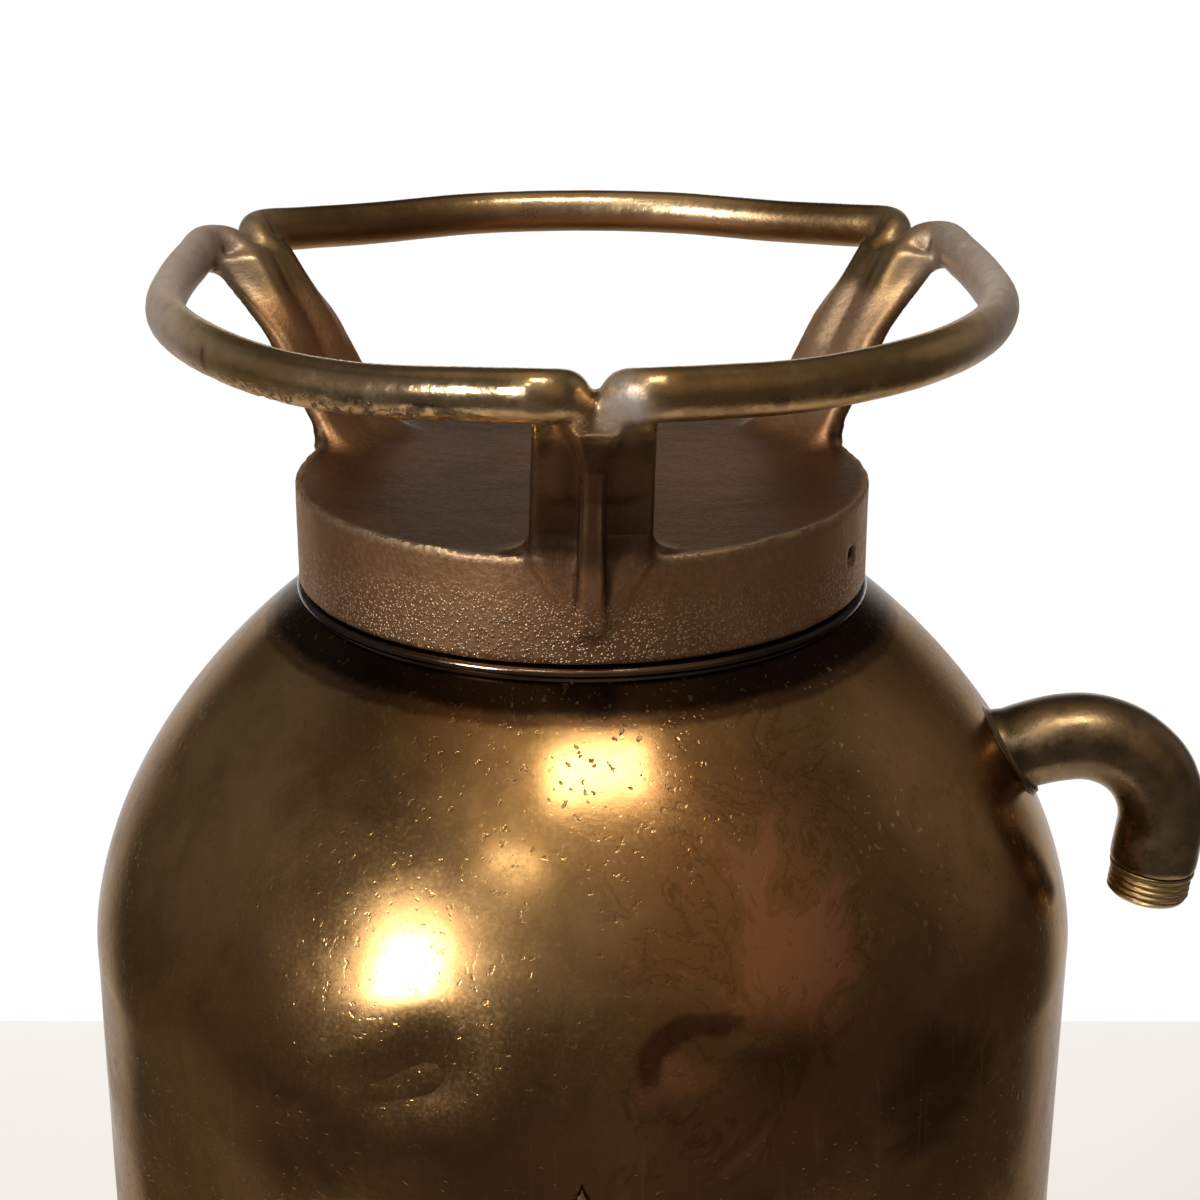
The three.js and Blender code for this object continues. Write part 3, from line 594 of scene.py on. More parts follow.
# Patches: azimuth in degrees, height, half-width round the shell, half-height, strength.
BARED = [
    (-67, 518, 15, 14, 1.0),
    (-81, 502, 8, 8, 1.1),
    (-72, 528, 24, 17, 0.6),
    (-60, 538, 14, 12, 0.55),
    (-76, 493, 28, 10, 0.45),
    (20, 400, 40, 50, 0.8),
    (150, 300, 50, 60, 0.7),
    (-130, 180, 45, 50, 0.7),
    (-20, 90, 40, 40, 0.7),
]
TARNISHED = [
    (-69, 504, 15, 12, 0.55),
    (-51, 491, 17, 14, 0.9),
    (-83.2, 505, 2.6, 4.5, 0.95),
    (-81.5, 508.5, 3.6, 2.8, 0.95),
    (-79, 510, 4.6, 2.3, 0.95),
    (-75.5, 509.6, 4, 2.2, 0.9),
    (60, 470, 30, 24, 0.8),
    (-150, 330, 30, 40, 0.8),
    (100, 160, 36, 30, 0.7),
    (-70, 240, 30, 36, 0.7),
]


def arc_between(azimuth, degrees):
    """Signed distance round the shell from an azimuth in degrees."""
    turn = azimuth - radians(degrees)
    return BODY_R * np.arctan2(np.sin(turn), np.cos(turn))


def build_shell():
    wall, bottom = 1.2, 1.85
    cylinder = np.concatenate([np.linspace(bottom + 0.3, 400, 34), np.linspace(402.4, SHOULDER_Z, 37)])
    outer = [(BODY_R - 0.3, bottom), *[(BODY_R, z) for z in cylinder[:-1]]]
    outer += dome_profile(0, NECK_HOLE_R, 64)
    inner = dome_profile(wall, NECK_HOLE_R, 24)[::-1]
    inner += [(BODY_R - wall, z) for z in np.linspace(480, bottom, 12)]
    segments = 288
    points, faces = lathe(outer + inner, segments)
    on_skin = np.repeat([True] * len(outer) + [False] * len(inner), segments)
    _, azimuth, z = polar(points)

    def spot(degrees, height, wide, tall):
        return bump_at(arc_between(azimuth, degrees), 0, wide) * bump_at(z, height, tall)

    sink = sum(depth * spot(*place) for *place, depth in DENTS)
    free = ramp(6, 30, z) * ramp(CAP_TOP - 20, CAP_TOP - 45, z)
    low_half = ramp(530, 490, z)
    swell = 0.22 * noise_at(points, 55) + (0.03 + 0.11 * low_half) * noise_at(points, 19, 3.1)
    shift = np.where(on_skin, (swell - sink) * free, 0)
    slope = np.clip((z - SHOULDER_Z) / DOME_H, 0, 1)
    points[:, 0] += shift * np.cos(azimuth) * (1 - slope)
    points[:, 1] += shift * np.sin(azimuth) * (1 - slope)
    points[:, 2] += shift * slope
    shell = add_piece("copper_shell", (points, faces), shell_copper, ["body_shell"])

    def patched(patches):
        return np.max([strength * spot(*place) for *place, strength in patches], axis=0)

    # Painted shade: a ring on the dome round the collar, under the cap's edge, stronger than any tarnish
    # patch.
    under_cap_shade = 1.6 * ramp(58, 52.5, polar(points)[0]) * (z > SHOULDER_Z)
    paint(shell, "bared", patched(BARED))
    paint(shell, "tarnished", np.maximum(patched(TARNISHED), under_cap_shade))
    paint(shell, "scratched", np.clip(spot(-46, 532, 11, 17) + 0.12, 0, 1))
    paint(shell, "pitted", np.clip(spot(-92, 546, 22, 10) + 0.25, 0, 1))


# ---- Cap casting ----


def lobe_path():
    """The first half of a lobe's centre line, for a leg at azimuth 0 and a ring that doesn't lean."""
    half_lobe = pi / 3
    ends = [(56.1, 4.5, RING_H - 16.5), (61.0, 4.1, RING_H - 8.6)]
    ends += [(66.0, 3.4, RING_H - 2.9), (70.6, 4.0, RING_H + 0.5)]
    lobe = []
    for share in (-1, -0.86, -0.62, -0.31, 0, 0.31, 0.62):
        flare = max(0, (abs(share) - 0.62) / 0.38)
        radius = RING_R + 3.3 * flare**1.6
        azimuth = half_lobe + share * 0.9 * half_lobe
        lobe.append((radius * cos(azimuth), radius * sin(azimuth), RING_H + 1.4 * flare))
    return through_points(ends + lobe, 5)[: 5 * 9]


LOBE = lobe_path()
LOBE_SQUASH = 3.2 / 4  # the bar is 6.4 across and 8 upright
LOBE_RADII = np.interp(np.arange(len(LOBE)), [0, 5, 10, 15], [1.7, 2.2, 2.8, 3.2])
LEG_LOW = np.array([42.7, -5.0])
LEG_HIGH = np.array([66.8, RING_H + 0.2])
LEG_END = 1.0  # the plate stops this far short of the ring
FAIRING = [(48, -13), (49.9, -12), (50.6, -5), (50.8, 0), (50.7, 3.4), (48.5, 3.4), (47, -4)]
RIB = [(48.85, -12.6), (50.7, -11.6), (52.3, -5.5), (53.9, 0.5), (55.8, 6), (58.4, 12), (62.6, 18.5)]
RIB += [(67.8, 24), (72.2, RING_H - 4.6), (71.4, RING_H - 0.9), (68.5, RING_H - 0.5)]
RIB += [(64, RING_H - 2.5), (45.5, -1)]
VENT_AZIMUTH = FIRST_LEG + radians(63)
CAP_GRID = 0.73
# Places where polish and painted highlights lighten the ring.
RING_POLISH_AND_HIGHLIGHTS = [(-109, 15), (73, 13), (92, 15)]  # bright places on the ring: azimuth and half-width in degrees


def unlean(points):
    """Heights over the cap's top, as they would be if the ring didn't lean and its left lobe didn't sag."""
    z = points[:, 2] - CAP_TOP
    sag = 0.8 * bump_at(np.degrees(np.arctan2(points[:, 1], points[:, 0])), -127, 16)
    return z - (RING_LEAN * points[:, 1] - sag) * ramp(0, RING_H, z)


def cap_field(points):
    x, y = points[:, 0], points[:, 1]
    z = unlean(points)
    r = np.hypot(x, y)
    azimuth = np.arctan2(y, x)
    sector = np.mod(azimuth - FIRST_LEG + pi / 3, 2 * pi / 3) - pi / 3
    u = r * np.cos(sector)
    w = np.sqrt((r * np.sin(sector)) ** 2 + 0.35**2)

    disc = rounded_box([r, z + CAP_H / 2], [CAP_R, CAP_H / 2], 0.5)

    # The legs' plates, with two rounded halves and a groove between them on the inner face.
    along_axis = LEG_HIGH - LEG_LOW
    length = np.linalg.norm(along_axis)
    tx, tz = along_axis / length
    # Near the ring its two edges sweep outwards, to meet the bars.
    sweep = 3.8 * ramp(RING_H - 14, RING_H - 1, z) * ramp(4.5, 9.5, w)
    along = (u - sweep - LEG_LOW[0]) * tx + (z - LEG_LOW[1]) * tz
    out = (u - sweep - LEG_LOW[0]) * tz - (z - LEG_LOW[1]) * tx
    high = ramp(0, length, along)
    crown = (0.35 + 0.45 * high) * ramp(RING_H - 4, RING_H - 13, z)
    bulge = crown * (1 - ((w - 4.9) / 4.9) ** 2).clip(-1, 1)
    thick = 1.75 + np.where(out < 0, bulge, 0)
    across = 9.7 - 0.5 * high
    middle = (length - LEG_END) / 2
    plate = rounded_box([along - middle, out / thick * 1.8, w / across * 9.7], [middle, 1.8, 9.7], 1.3)

    # The rib, wider where it runs into the ring above and into the cap's side below.
    flat = polygon_distance(u, z, RIB)
    rib_half = 1.75 + 1.1 * bump_at(z, RING_H - 5, 5) + 0.3 * ramp(14, -10, z)
    rib_half -= 1.2 * ramp(RING_H - 4.5, RING_H - 1.5, z)
    rib = -smooth_min(-flat, -(w - rib_half), 1.0)

    squashed = np.stack([u, w, z * LOBE_SQUASH], 1)
    bars = np.full(len(points), 1e3)
    close = (z > 6) & (r > 46)
    bars[close] = bar_distance(squashed[close], LOBE * [1, 1, LOBE_SQUASH], LOBE_RADII)

    # A fairing carries the plate's face down on to the cap's side, narrowing to the rib.
    flat = polygon_distance(u, z, FAIRING)
    narrow = (w - np.clip(9.4 + 0.72 * z, 1.8, 9.4)) * 0.8
    fairing = -smooth_min(-flat, -narrow, 2.0)
    leg_fillet = 2.4 + 3.2 * ramp(1.5, -1.5, out)  # wider where the inner face meets the cap's top
    solid = smooth_min(disc, smooth_min(plate, fairing, 1.5), leg_fillet)
    solid = smooth_min(solid, rib, 1.0)
    solid = smooth_min(solid, bars, 3.0)

    thread = thread_wave(z / THREAD_PITCH - azimuth / (2 * pi)) * ramp(-7, -8.5, z)
    cavity = np.maximum(r - CAP_BORE_R - 0.85 * thread, z - CEILING)
    solid = np.maximum(solid, -cavity)

    turn = azimuth - VENT_AZIMUTH
    vent = np.hypot(r * np.sin(turn), z - VENT_Z) - VENT_R
    vent = np.where((np.cos(turn) > 0) & (r > 40), vent, 10)
    return -smooth_min(-solid, vent, 0.5)


def thread_wave(turns):
    """0 at a thread's crest and 1 at its root."""
    share = np.abs(2 * (turns - np.floor(turns)) - 1)
    return np.clip(1.6 * share - 0.3, 0, 1)


def cut_thread(points, crest, turns, depth):
    """Cuts a thread into the vertices that lie at the crest's radius."""
    on_crest = np.abs(polar(points)[0] - crest) < 0.02
    cut = depth * thread_wave(turns)
    points[:, :2] *= np.where(on_crest, 1 - cut / crest, 1)[:, None]


def outwardness(points, normal, r):
    """How far each normal points away from the axis, from -1 to 1."""
    return (points * normal)[:, :2].sum(1) / np.maximum(r, 1)


def build_cap():
    low = (-76.5, -79.5, CAP_TOP - CAP_H - 2)
    high = (76.5, 76.5, CAP_TOP + RING_H + 7.5)
    points, faces = surface(cap_field, low, high, [CAP_GRID] * 3)
    slope = gradient(cap_field, points, 0.1)
    normal = slope / np.maximum(np.linalg.norm(slope, axis=1, keepdims=True), 1e-6)
    reach = 0.7
    bend = -6 * cap_field(points)
    for axis in np.eye(3):
        bend += cap_field(points + reach * axis) + cap_field(points - reach * axis)
    bend /= reach**2

    z = unlean(points)
    r, azimuth, _ = polar(points)
    degrees = np.degrees(azimuth)
    ring = ramp(RING_H - 9, RING_H - 4.5, z) * ramp(57, 61, r)
    rim = bump_at(r, CAP_R - 0.3, 0.8) * bump_at(z, 0, 0.8)

    # The sand's unevenness, the burred rim, and pocks low on the front left lobe.
    rough = 0.07 * noise_at(points, 9) + 0.04 * noise_at(points, 3.2, 5.3)
    pocked = ring * bump_at(degrees, -118, 24) * ramp(RING_H - 0.4, RING_H - 2.4, z)
    pocked *= ramp(-0.2, 0.4, outwardness(points, normal, r))
    pocks = pocked * np.clip(noise_at(points, 2.3, 9.7) * 2.4 - 0.35, 0, 1)
    points = points + normal * (rough * (1 - 0.5 * ring) - 0.55 * pocks)[:, None]
    points[:, 2] += rim * (0.2 + 0.45 * np.clip(noise_at(points, 5.0, 2.0) + 0.2, 0, 1))
    shape = points, faces
    cap = add_piece("cast_cap", shape, bronze_casting, ["cap_casting"], "cap", 60)

    outward = outwardness(points, normal, r)
    edge = ramp(0.45, 1.4, bend) * (0.35 + 0.65 * ramp(-0.25, 0.3, noise_at(points, 6, 1.0)))
    # Painted light: the ring's gold is fuller on faces turned up and out, and fainter on those beneath.
    upward = ramp(-0.2, 0.9, normal[:, 2] + 0.35 * outward)
    # Painted shade on the legs' outer faces, which lean out and face down; the cap's top is painted darker
    # as well.
    shaded_legs = ramp(-2, 3, z) * ramp(0.1, 0.5, outward) * (1 - ring)
    on_top = ramp(0.5, 0.9, normal[:, 2]) * bump_at(z, 0, 1.6)
    on_top *= ramp(CAP_R - 0.2, CAP_R - 1.2, r)
    low_side = ramp(-3, -13, z) * ramp(0.3, 0.8, np.hypot(normal[:, 0], normal[:, 1]))

    # Polish and painted highlights lighten the ring in places, and a painted highlight lightens one leg's
    # inner face.
    rubbed = np.max([bump_at(degrees, middle, width) for middle, width in RING_POLISH_AND_HIGHLIGHTS], axis=0)
    facing_light = ramp(-0.1, 0.5, normal[:, 2] - 0.8 * normal[:, 1] - 0.2)
    inner_face_highlight = 1.1 * bump_at(degrees, 32, 10) * ramp(2, 9, z)
    inner_face_highlight *= ramp(0.0, -0.4, outward) * (1 - ring)

    # Dirt lies in the hollows and in a crack; painted shade darkens the vent, the back bar, its underside
    # and the legs' outer faces.
    turn = azimuth - VENT_AZIMUTH
    in_vent = np.hypot(r * np.sin(turn), z - VENT_Z) < VENT_R + 0.6
    in_vent &= (np.cos(turn) > 0) & (r > CAP_BORE_R - 1) & (r < CAP_R - 0.25)
    under_bar_shade = 0.9 * ring * ramp(-0.15, -0.75, normal[:, 2]) * bump_at(degrees, 90, 70)
    back_bar_shade = 0.8 * ring * bump_at(degrees, 90, 52).clip(0, 0.6) / 0.6 * (1 - np.clip(1.6 * rubbed, 0, 1))
    crack = 0.9 * ring * bump_at(degrees, -142, 0.5) * ramp(RING_H + 2.5, RING_H + 1, z)
    dirt_and_shade = [ramp(-0.30, -0.9, bend), under_bar_shade, in_vent, 0.8 * shaded_legs, back_bar_shade, crack]

    # A casting seam under the front lobes, greyish crust in the notch, and a pale greyish colour at the
    # ring's two ends that is partly crust and partly painted reflection of the bright backdrop.
    seam = np.maximum(bump_at(degrees, -109, 11), 0.6 * bump_at(degrees, -64, 16))
    notch = bump_at(points[:, 0], 6.0, 3.6) * bump_at(z, RING_H, 4.5)
    notch *= (degrees < -60) & (degrees > -88.5)
    ends_crust_and_reflection = 0.9 * ring * ramp(52, 70, np.abs(points[:, 0]))
    painted = {
        "ring": ring * (0.55 + 0.45 * upward) + 0.8 * edge * ramp(2, 8, z),
        "worn": np.where(z < 3, edge, 0.35 * edge) * (z > -3) + rim,
        "sunk": np.max(dirt_and_shade, axis=0),
        "grainy": low_side * (0.25 + 0.75 * bump_at(degrees, -105, 32)),
        "pocked": pocked * 1.2,
        "seam": 1.4 * bump_at(z, RING_H - 1.1, 0.9) * seam * ring,
        "grey": np.maximum(1.3 * notch, ends_crust_and_reflection),
        "aged": np.maximum(on_top, 0.92 * shaded_legs),
        "rubbed": 1.2 * rubbed * facing_light * ring + inner_face_highlight,
    }
    for name, values in painted.items():
        paint(cap, name, np.clip(values, 0, 1))


# ---- Neck ----


def build_collar():
    low = CAP_TOP - 26
    bore, hole, edge, bead_middle, bead_r = 38.5, 47.4, 45.2, 49.3, 0.95
    under_cap = CAP_TOP - CAP_H - 0.45
    turns = np.linspace(radians(-85), radians(75), 13)
    bead = [(bead_middle + bead_r * cos(a), under_cap - 1.08 + bead_r * sin(a)) for a in turns]
    profile = [
        (bore, low),
        (hole, low),
        (hole, CAP_TOP - 21),
        (bead_middle, dome_height(bead_middle) - 0.9),
        *bead,
        (bead_middle - 0.1, under_cap - 0.1),
        (NECK_THREAD_R + 0.2, under_cap),
        *[(NECK_THREAD_R, z) for z in np.linspace(under_cap + 0.1, COLLAR_TOP - 0.7, 40)],
        (edge, COLLAR_TOP),
        (SEAT_R, COLLAR_TOP),
        (SEAT_R, SEAT_Z),
        (bore, SEAT_Z),
    ]
    points, faces = lathe(profile, 192)
    _, azimuth, z = polar(points)
    ends = ramp(under_cap, under_cap + 0.8, z) * ramp(COLLAR_TOP - 0.6, COLLAR_TOP - 1.2, z)
    turns = (z - CAP_TOP) / THREAD_PITCH - azimuth / (2 * pi)
    cut_thread(points, NECK_THREAD_R, turns, 0.8 * ends)
    shape = points, faces
    collar = add_piece("threaded_collar", shape, collar_bronze, ["neck_collar"])
    # Painted shade: the bead goes near black away from the front, where the cap's edge shades it.
    paint(collar, "grimy", 0.9 * (1 - bump_at(arc_between(azimuth, -95), 0, 48)))


# ---- Outlet ----

OUTWARD = np.array([cos(ELBOW_RISE), 0, sin(ELBOW_RISE)])
ROOT_SAG = np.array([0, 0, 1.7])  # the straight run rises a little faster at its root
ELBOW_Z = CAP_TOP - 48.8


def shell_radius(z):
    if z <= SHOULDER_Z:
        return BODY_R
    share = min(1, (z - SHOULDER_Z) / DOME_H)
    return BODY_R * (1 - share**DOME_POWER) ** (1 / DOME_POWER)


ROOT = np.array([shell_radius(ELBOW_Z), 0, ELBOW_Z])


def elbow_line():
    """Centres and headings along the outlet, from inside the shoulder to its mouth."""
    start, steps = -16, 90
    turn = ELBOW_RISE + pi / 2 + ELBOW_OVERBEND
    run, bend = ELBOW_RUN, ELBOW_BEND_R * turn
    corner = ROOT + OUTWARD * run
    out = []
    for s in np.linspace(start, run + bend + ELBOW_DROP, steps):
        heading = ELBOW_RISE - min(max(0, (s - run) / ELBOW_BEND_R), turn)
        if s <= run:
            centre = ROOT + OUTWARD * s
        else:
            past = max(0, s - run - bend)
            x = ELBOW_BEND_R * (sin(ELBOW_RISE) - sin(heading)) + past * cos(heading)
            z = ELBOW_BEND_R * (cos(heading) - cos(ELBOW_RISE)) + past * sin(heading)
            centre = corner + [x, 0, z]
        sagging = min(1, max(0, 1 - s / run)) ** 2 * ramp(-12, -3, s)
        out.append((centre - ROOT_SAG * sagging, heading))
    return out


def outlet_piece(name, points, faces, look, node, sharp=38.0):
    shape = about_z(points, OUTLET_AZIMUTH), faces
    return add_piece(name, shape, look, [node], sharp=sharp)


def spokes(heading, count):
    """Unit offsets round a heading in the outlet's plane."""
    upward = np.array([-sin(heading), 0, cos(heading)])
    turns = np.linspace(0, 2 * pi, count, endpoint=False)
    return [cos(a) * upward + sin(a) * np.array([0, 1.0, 0]) for a in turns]


def ring_numbers(rings, sides):
    return np.arange(rings * sides).reshape(rings, sides).tolist()


def build_elbow():
    sides = 64
    line = elbow_line()
    loops = [(line[0], TUBE_BORE_R)]
    loops += [(place, TUBE_R) for place in line[:-1]]
    loops += [(line[-1], TUBE_R - 0.25), (line[-1], TUBE_BORE_R)]
    loops += [(place, TUBE_BORE_R) for place in reversed(line[1:-1])]
    points = []
    for (centre, heading), radius in loops:
        points += [centre + radius * spoke for spoke in spokes(heading, sides)]
    points = np.array(points)
    faces = [[b, a, d, c] for a, b, c, d in banded(ring_numbers(len(loops), sides))]
    # A bent tube isn't quite round, and its skin isn't quite smooth.
    points += (0.16 * noise_at(points, 7.0, 1.7) + 0.05 * noise_at(points, 2.5))[:, None] * OUTWARD
    tube = outlet_piece("bent_outlet", points, faces, fitting_brass, "outlet_elbow", 50)
    # The tube is darker near its root at the shoulder.
    paint(tube, "grimy", 0.55 * ramp(6, 1, (points - ROOT) @ OUTWARD))


def build_flange():
    """The solder fillet round the outlet's root, laid on the shoulder."""
    sides, rows = 72, 14

    def on_dome(start):
        near, far = -30.0, 30.0
        for _ in range(40):
            middle = (near + far) / 2
            p = start + OUTWARD * middle
            inside = np.hypot(p[0], p[1]) < shell_radius(p[2])
            near, far = (middle, far) if inside else (near, middle)
        return start + OUTWARD * near

    points = []
    for share in np.arange(rows) / (rows - 1):
        radius = TUBE_R - 0.1 + 1.1 * share
        lift = 0.05 + 0.9 * (1 - share) ** 2
        for spoke in spokes(ELBOW_RISE, sides):
            points.append(on_dome(ROOT - ROOT_SAG + spoke * radius) + OUTWARD * lift)
    points = np.array(points)
    points = np.vstack([points, points[::-1] - OUTWARD * 1.1])
    points += 0.15 * noise_at(points, 4.0)[:, None] * OUTWARD
    # The under side runs back from the rim to the tube.
    under = points[rows * sides :].reshape(rows, sides, 3)[:, ::-1].reshape(-1, 3)
    points = np.vstack([points[: rows * sides], under])
    faces = banded(ring_numbers(2 * rows, sides))
    outlet_piece("solder_fillet", points, faces, fitting_brass, "outlet_flange", 60)


def build_spigot():
    """The threaded end, made pointing up and then turned over on to the elbow's mouth."""
    height, crest, bore, pitch = 6.35, 7.3, 4.5, 1.15
    turns = [(crest, z) for z in np.linspace(1.1, height - 0.8, 44)]
    profile = [(bore, -5), (5.2, -5), (5.2, 0.35), (7.6, 0.35, 0.15), (7.6, 0.95, 0.15), *turns]
    profile += [(6.6, height - 0.1), (6.4, height), (4.7, height), (bore, height - 0.2)]
    points, faces = lathe(eased(profile), 96)
    _, azimuth, z = polar(points)
    cut_thread(points, crest, z / pitch + azimuth / (2 * pi), 0.36 * ramp(1.0, 1.6, z))
    centre, heading = elbow_line()[-1]
    points = turn_to(points, centre, (cos(heading), 0, sin(heading)), (0, 1, 0))
    outlet_piece("threaded_end", points, faces, thread_brass, "outlet_spigot")


# ---- Name plate ----


def plate_outline():
    half, foot, spring, top = 37.0, 383.0, 467.0, 487.0
    right = [(half, foot), (half, spring - 6)]

    def curve(a, b, c, d):
        t = np.linspace(0, 1, 14)[1:, None]
        a, b, c, d = (np.array(p, float) for p in (a, b, c, d))
        line = (1 - t) ** 3 * a + 3 * t * (1 - t) ** 2 * b + 3 * t * t * (1 - t) * c + t**3 * d
        return [tuple(p) for p in line]

    right += curve(right[-1], (half, spring + 4), (0.62 * half, spring + 5), (0.4 * half, spring + 7))
    right += curve(right[-1], (0.16 * half, spring + 9), (3.2, spring + 12), (0, top))
    return right + [(-x, z) for x, z in reversed(right[:-1])]


def build_plate():
    """A blank brass plate with a raised border, made flat and then laid round the shell."""
    thick, left, foot, cell = 0.8, -40, 380, 0.5
    grid = np.arange(left, -left + 0.01, cell), np.arange(foot, 490.01, cell)
    flat_s, flat_z = np.meshgrid(*grid, indexing="ij")
    table = polygon_distance(flat_s.ravel(), flat_z.ravel(), plate_outline()).reshape(flat_s.shape)

    def edge_distance(s, z):
        a = np.clip((s - left) / cell, 0, table.shape[0] - 1.001)
        b = np.clip((z - foot) / cell, 0, table.shape[1] - 1.001)
        i, j = a.astype(int), b.astype(int)
        f, g = a - i, b - j
        low = table[i, j] * (1 - f) + table[i + 1, j] * f
        high = table[i, j + 1] * (1 - f) + table[i + 1, j + 1] * f
        return low * (1 - g) + high * g

    def field(p):
        edge = edge_distance(p[:, 0], p[:, 2])
        border = 0.5 * bump_at(edge, -2.1, 0.8) * ramp(485, 474, p[:, 2])
        front = thick - 0.25 + border + 0.25 * bump_at(edge, -4.0, 0.45)
        inside = -smooth_min(-edge, -(p[:, 1] - front), 1.0)
        return np.maximum(inside, -p[:, 1])

    points, faces = surface(field, (-39, -0.7, 381), (39, 2.0, 489), (0.62, 0.22, 0.62))
    radius = BODY_R + SKIN_GAP + points[:, 1]
    turn = points[:, 0] / BODY_R
    laid = np.stack([radius * np.sin(turn), -radius * np.cos(turn), points[:, 2]], 1)
    shape = laid, [f[::-1] for f in faces]
    add_piece("blank_plate", shape, plate_brass, ["name_plate"], sharp=50)


# ---- Foot ----


def build_foot():
    inner, outer, lip = BODY_R + SKIN_GAP, BODY_R + 1.85, 84.5
    band = [
        (lip, 0, 0.5),
        (outer + 0.3, 0, 0.5),
        (outer + 0.8, 1.3, 0.5),
        (outer + 0.7, 2.8, 0.6),
        (outer, 3.8, 0.6),
        (outer, 12),
        (outer, 19.6, 0.7),
        (inner + 0.2, 21, 0.3),
        (inner, 20.6),
        (inner, 1.5),
        (lip, 1.5, 0.4),
    ]
    add_piece("turned_band", lathe(eased(band), 240), trim_brass, ["foot_band"])

    thick, flange_r, dish_r, low, rise = 1.4, BODY_R - 1.55, 84.35, 29, 20
    share = np.linspace(0, 1, 22)

    def dish(radius, height):
        return [(r, height + rise * (1 - (r / radius) ** 2)) for r in radius * share]

    profile = dish(dish_r - thick, 37 - thick)
    profile += [(flange_r - thick, 33.6), (flange_r - thick, low), (flange_r, low)]
    profile += [(flange_r, 34.6), (flange_r - 0.8, 36), *reversed(dish(dish_r, 37))]
    add_piece("dished_head", lathe(profile, 192), head_copper, ["bottom_head"])


def dome_rivet(head_r, head_h, shank_r, low, high):
    """A rivet along +Z with a round head over high and a flat one under low."""
    arc = [(head_r * cos(a), high + head_h * sin(a)) for a in np.linspace(0, pi / 2, 8)]
    flat = [(0, low - 0.9), (0.8 * head_r, low - 0.9, 0.3), (0.85 * head_r, low)]
    return eased([*flat, (shank_r, low), (shank_r, high), *arc[:-1], (0, high + head_h)])


def build_grip():
    """Rounds the bar's edges, and fits domed rivets through its ends."""
    round_off(dress("base_grip", trim_brass), 0.7)
    skin = BODY_R + 2.2
    tab = BODY_R - 2.5 - 3
    for i, (side, y) in enumerate([(1, 7), (1, -7), (-1, 7), (-1, -7)], 1):
        points, faces = lathe(dome_rivet(3.4, 1.9, 1.9, tab - 0.35, sqrt(skin**2 - y * y)), 40)
        placed = turn_to(points, np.array([0, y, 13.0]), (side, 0, 0), (0, 0, 1))
        add_piece(f"band_rivet_{i}", (placed, faces), trim_brass, [f"grip_rivet_{i}"])


def round_off(piece, width):
    bevel = piece.modifiers.new("eased", "BEVEL")
    bevel.width = width * MM
    bevel.segments = 3
    bevel.limit_method = "ANGLE"
    bevel.angle_limit = radians(40)


# ---- Inside ----


def washer(inner, outer, low, high):
    return eased([(inner, low, 0.4), (outer, low, 0.4), (outer, high, 0.4), (inner, high, 0.4)])


def build_gasket():
    gasket = lathe(washer(SEAT_R + 0.3, NECK_THREAD_R, COLLAR_TOP + 0.3, CEILING + CAP_TOP - 0.3), 144)
    add_piece("rubber_ring", gasket, rubber_look(), ["cap_gasket"], "cap_seal")


def build_cage():
    ring = lathe(washer(30.9, SEAT_R - 0.4, SEAT_Z + 0.3, SEAT_Z + 3), 128)
    add_piece("turned_cage_ring", ring, cage_brass, ["cage_ring"])
    cup = [(0, 0), (30.8, 0, 1.8), (30.8, 14, 0.3), (29.6, 14, 0.3), (29.6, 1.5, 0.8), (0, 1.5)]
    cup = lathe(eased(lifted(cup, CAGE_BOTTOM)), 128)
    add_piece("drawn_cage_cup", cup, cage_brass, ["cage_cup"])
    head_r, head_h, shank_r, strap_skin = 2.1, 0.9, 1.1, 33
    for i in range(1, 5):
        azimuth = radians(90 * i - 45)
        out = np.array([cos(azimuth), sin(azimuth), 0])
        dress(f"cage_strap_{i}", cage_brass)
        points, faces = lathe(dome_rivet(head_r, head_h, shank_r, SEAT_Z - 1.9, SEAT_Z + 3), 28)
        shape = points + 35 * out, faces
        add_piece(f"ring_stud_{i}", shape, cage_brass, [f"ring_rivet_{i}"])
        turns = np.linspace(0, pi / 2, 8)[:-1]
        head = [(head_r * cos(a), strap_skin + head_h * sin(a)) for a in turns]
        shank = [(0, 29.75), (shank_r, 29.75), (shank_r, strap_skin)]
        points, faces = lathe([*shank, *head, (0, strap_skin + head_h)], 28)
        shape = turn_to(points, np.array([0, 0, CAGE_BOTTOM + 8]), out, (0, 0, 1)), faces
        add_piece(f"cup_stud_{i}", shape, cage_brass, [f"cup_rivet_{i}"])


def build_charge():
    """The bottle, its loose stopper, and the strainer's material."""
    foot = CAGE_BOTTOM + 1.9
    height = 135
    bottle = [(0, 1.5), (20.8, 1.2, 2), (24, 0, 1.5), (28.8, 0.3, 2.5)]
    bottle += [(28.8, 96, 6), (25.5, 106, 3), (14.6, 113, 3.5), (14, height - 7.2, 0.8)]
    bottle += [(16.2, height - 6, 0.8), (16.2, height, 1.2), (10.5, height, 1.0)]
    bottle += [(10.5, 113, 2.5), (22.5, 103.5, 3), (26.3, 95, 5), (26.3, 4.3, 2.5), (0, 4.3)]
    bottle = lathe(eased(lifted(bottle, foot), 6), 128)
    add_piece("blown_bottle", bottle, glass_look(), ["acid_bottle"])

    stopper = [(0, -20), (8.2, -20, 1), (9.6, -1), (9.6, 0.35), (15.5, 0.35, 0.4), (15.5, 3, 0.8)]
    stopper += [(12.5, 6, 1.5), (5.8, 7.5, 1.5), (5.6, 15, 1.2), (0, 15)]
    stopper = lathe(eased(lifted(stopper, foot + height), 5), 72)
    add_piece("cast_stopper", stopper, stopper_lead, ["acid_stopper"], "stopper")
    dress("outlet_strainer", cage_brass)


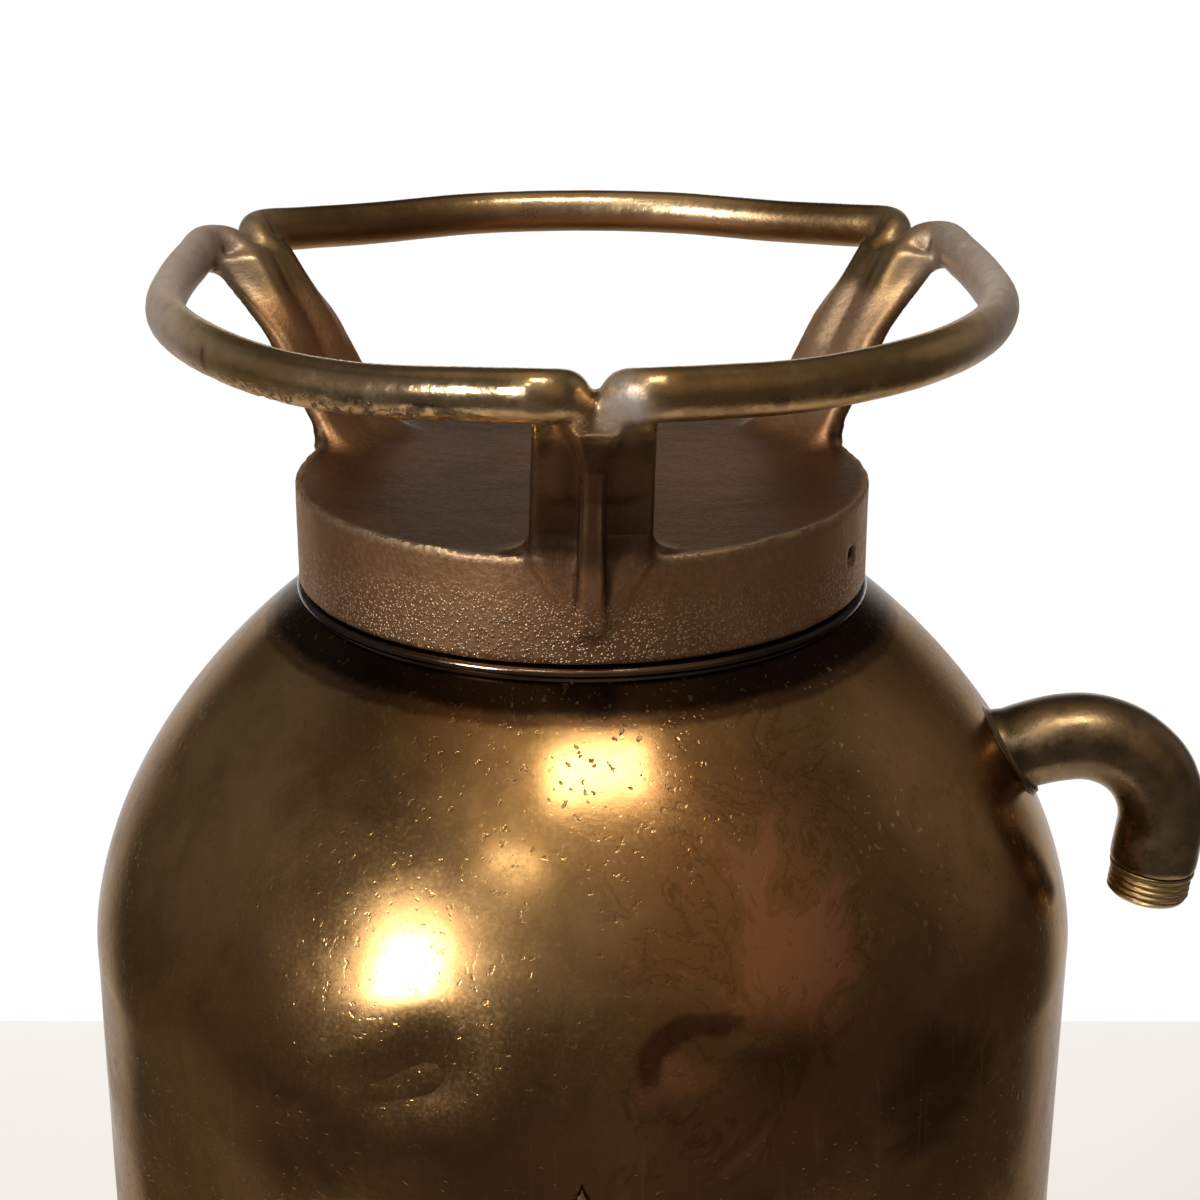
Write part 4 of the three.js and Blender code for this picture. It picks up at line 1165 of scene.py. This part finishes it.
build_shell()
build_cap()
build_collar()
build_elbow()
build_flange()
build_spigot()
build_plate()
build_foot()
build_grip()
build_gasket()
build_cage()
build_charge()


# ---- Floor, light and camera ----


def build_floor():
    half_x, near, far, corner = 0.6, -0.45, 0.81, 0.1
    outline = []
    for x, y, start in ((half_x, far, 0), (-half_x, far, 90), (-half_x, near, 180), (half_x, near, 270)):
        middle = (x - copysign(corner, x), y - copysign(corner, y - 0.2))
        for turn in np.radians(np.linspace(start, start + 90, 13)):
            outline.append((middle[0] + corner * cos(turn), middle[1] + corner * sin(turn), 0))
    mesh = bpy.data.meshes.new("floor")
    mesh.from_pydata(outline, [], [list(range(len(outline)))])
    look = Look("pale_floor", Roughness=0.7)
    look.shade("Base Color", look.mix((0.83, 0.82, 0.80), (0.88, 0.875, 0.865), look.noise(3, 3)))
    mesh.materials.append(look.material)
    floor = new_object("floor", mesh)


def area_light(name, place, target, size, power, colour):
    light = bpy.data.lights.new(name, "AREA")
    light.shape = "RECTANGLE"
    light.size, light.size_y = size
    light.energy = power
    light.color = colour
    lamp = new_object(name, light)
    lamp.location = place
    lamp.rotation_euler = (Vector(target) - Vector(place)).to_track_quat("-Z", "Y").to_euler()


def towards(azimuth, elevation, distance):
    start = (0, -0.06, 0.53)
    return tuple(s + distance * d for s, d in zip(start, direction(azimuth, elevation)))


# Soft patches of light in the surroundings: azimuth, elevation, inner and outer radius in degrees, colour.
DIM = (0.075, 0.066, 0.062)
PANELS = [
    (90, -26, 32, 48, (0.95, 0.95, 0.95)),
    (-108, 46, 6, 34, (0.30, 0.29, 0.27)),
    (-165, 18, 5, 34, (0.08, 0.07, 0.07)),
    (152, 16, 8, 32, (0.09, 0.11, 0.13)),
    (172, -34, 5, 28, (0.10, 0.09, 0.08)),
    (-86, -24, 5, 24, (0.04, 0.035, 0.03)),
    (-52, 32, 5, 36, (0.16, 0.12, 0.07)),
    (22, 17, 6, 26, (0.13, 0.11, 0.11)),
    (0, 70, 10, 60, (0.05, 0.045, 0.04)),
    (-105, 84, 8, 42, (0.24, 0.17, 0.09)),
]


def direction(azimuth, elevation):
    a, e = radians(azimuth), radians(elevation)
    return (cos(e) * cos(a), cos(e) * sin(a), sin(e))


def build_light():
    middle = (0, 0, 0.5)
    area_light("window", towards(-132, 22, 1.5), middle, (0.36, 0.46), 12, (1.0, 0.97, 0.96))
    area_light("overhead", towards(-80, 68, 1.3), middle, (0.48, 0.20), 4.2, (1.0, 0.94, 0.82))
    area_light("lamp", towards(-113, 48, 1.4), middle, (0.24, 0.11), 0.6, (1.0, 0.96, 0.85))
    area_light("back", (0, 2.0, 1.9), (0, 0.9, 0), (2.2, 1.1), 52, (1.0, 1.0, 1.0))
    bpy.data.objects["back"].visible_glossy = False  # it only lights the floor behind
    world = bpy.data.worlds.new("surroundings")
    bpy.context.scene.world = world
    world.use_nodes = True
    sky = Nodes(world.node_tree)
    place = sky.node("TexCoord", {}).outputs["Generated"]
    total = DIM
    for azimuth, elevation, inner, outer, colour in PANELS:
        along = sky.vector("DOT_PRODUCT", place, direction(azimuth, elevation), output="Value")
        share = sky.band(along, cos(radians(outer)), cos(radians(inner)))
        total = sky.vector("ADD", sky.vector("SCALE", colour, share, "Scale"), total)
    sky.set(world.node_tree.nodes["Background"].inputs["Color"], total)


def build_camera():
    camera = new_object("camera", bpy.data.cameras.new("camera"))
    camera.location = (0, -0.38675, 0.68557)
    camera.rotation_euler = (radians(70.57), 0, 0)
    camera.data.lens = 69
    camera.data.sensor_width = 36
    camera.data.shift_x = 0.015
    bpy.context.scene.camera = camera


build_floor()
build_light()
build_camera()
bpy.context.scene.view_settings.view_transform = "Standard"
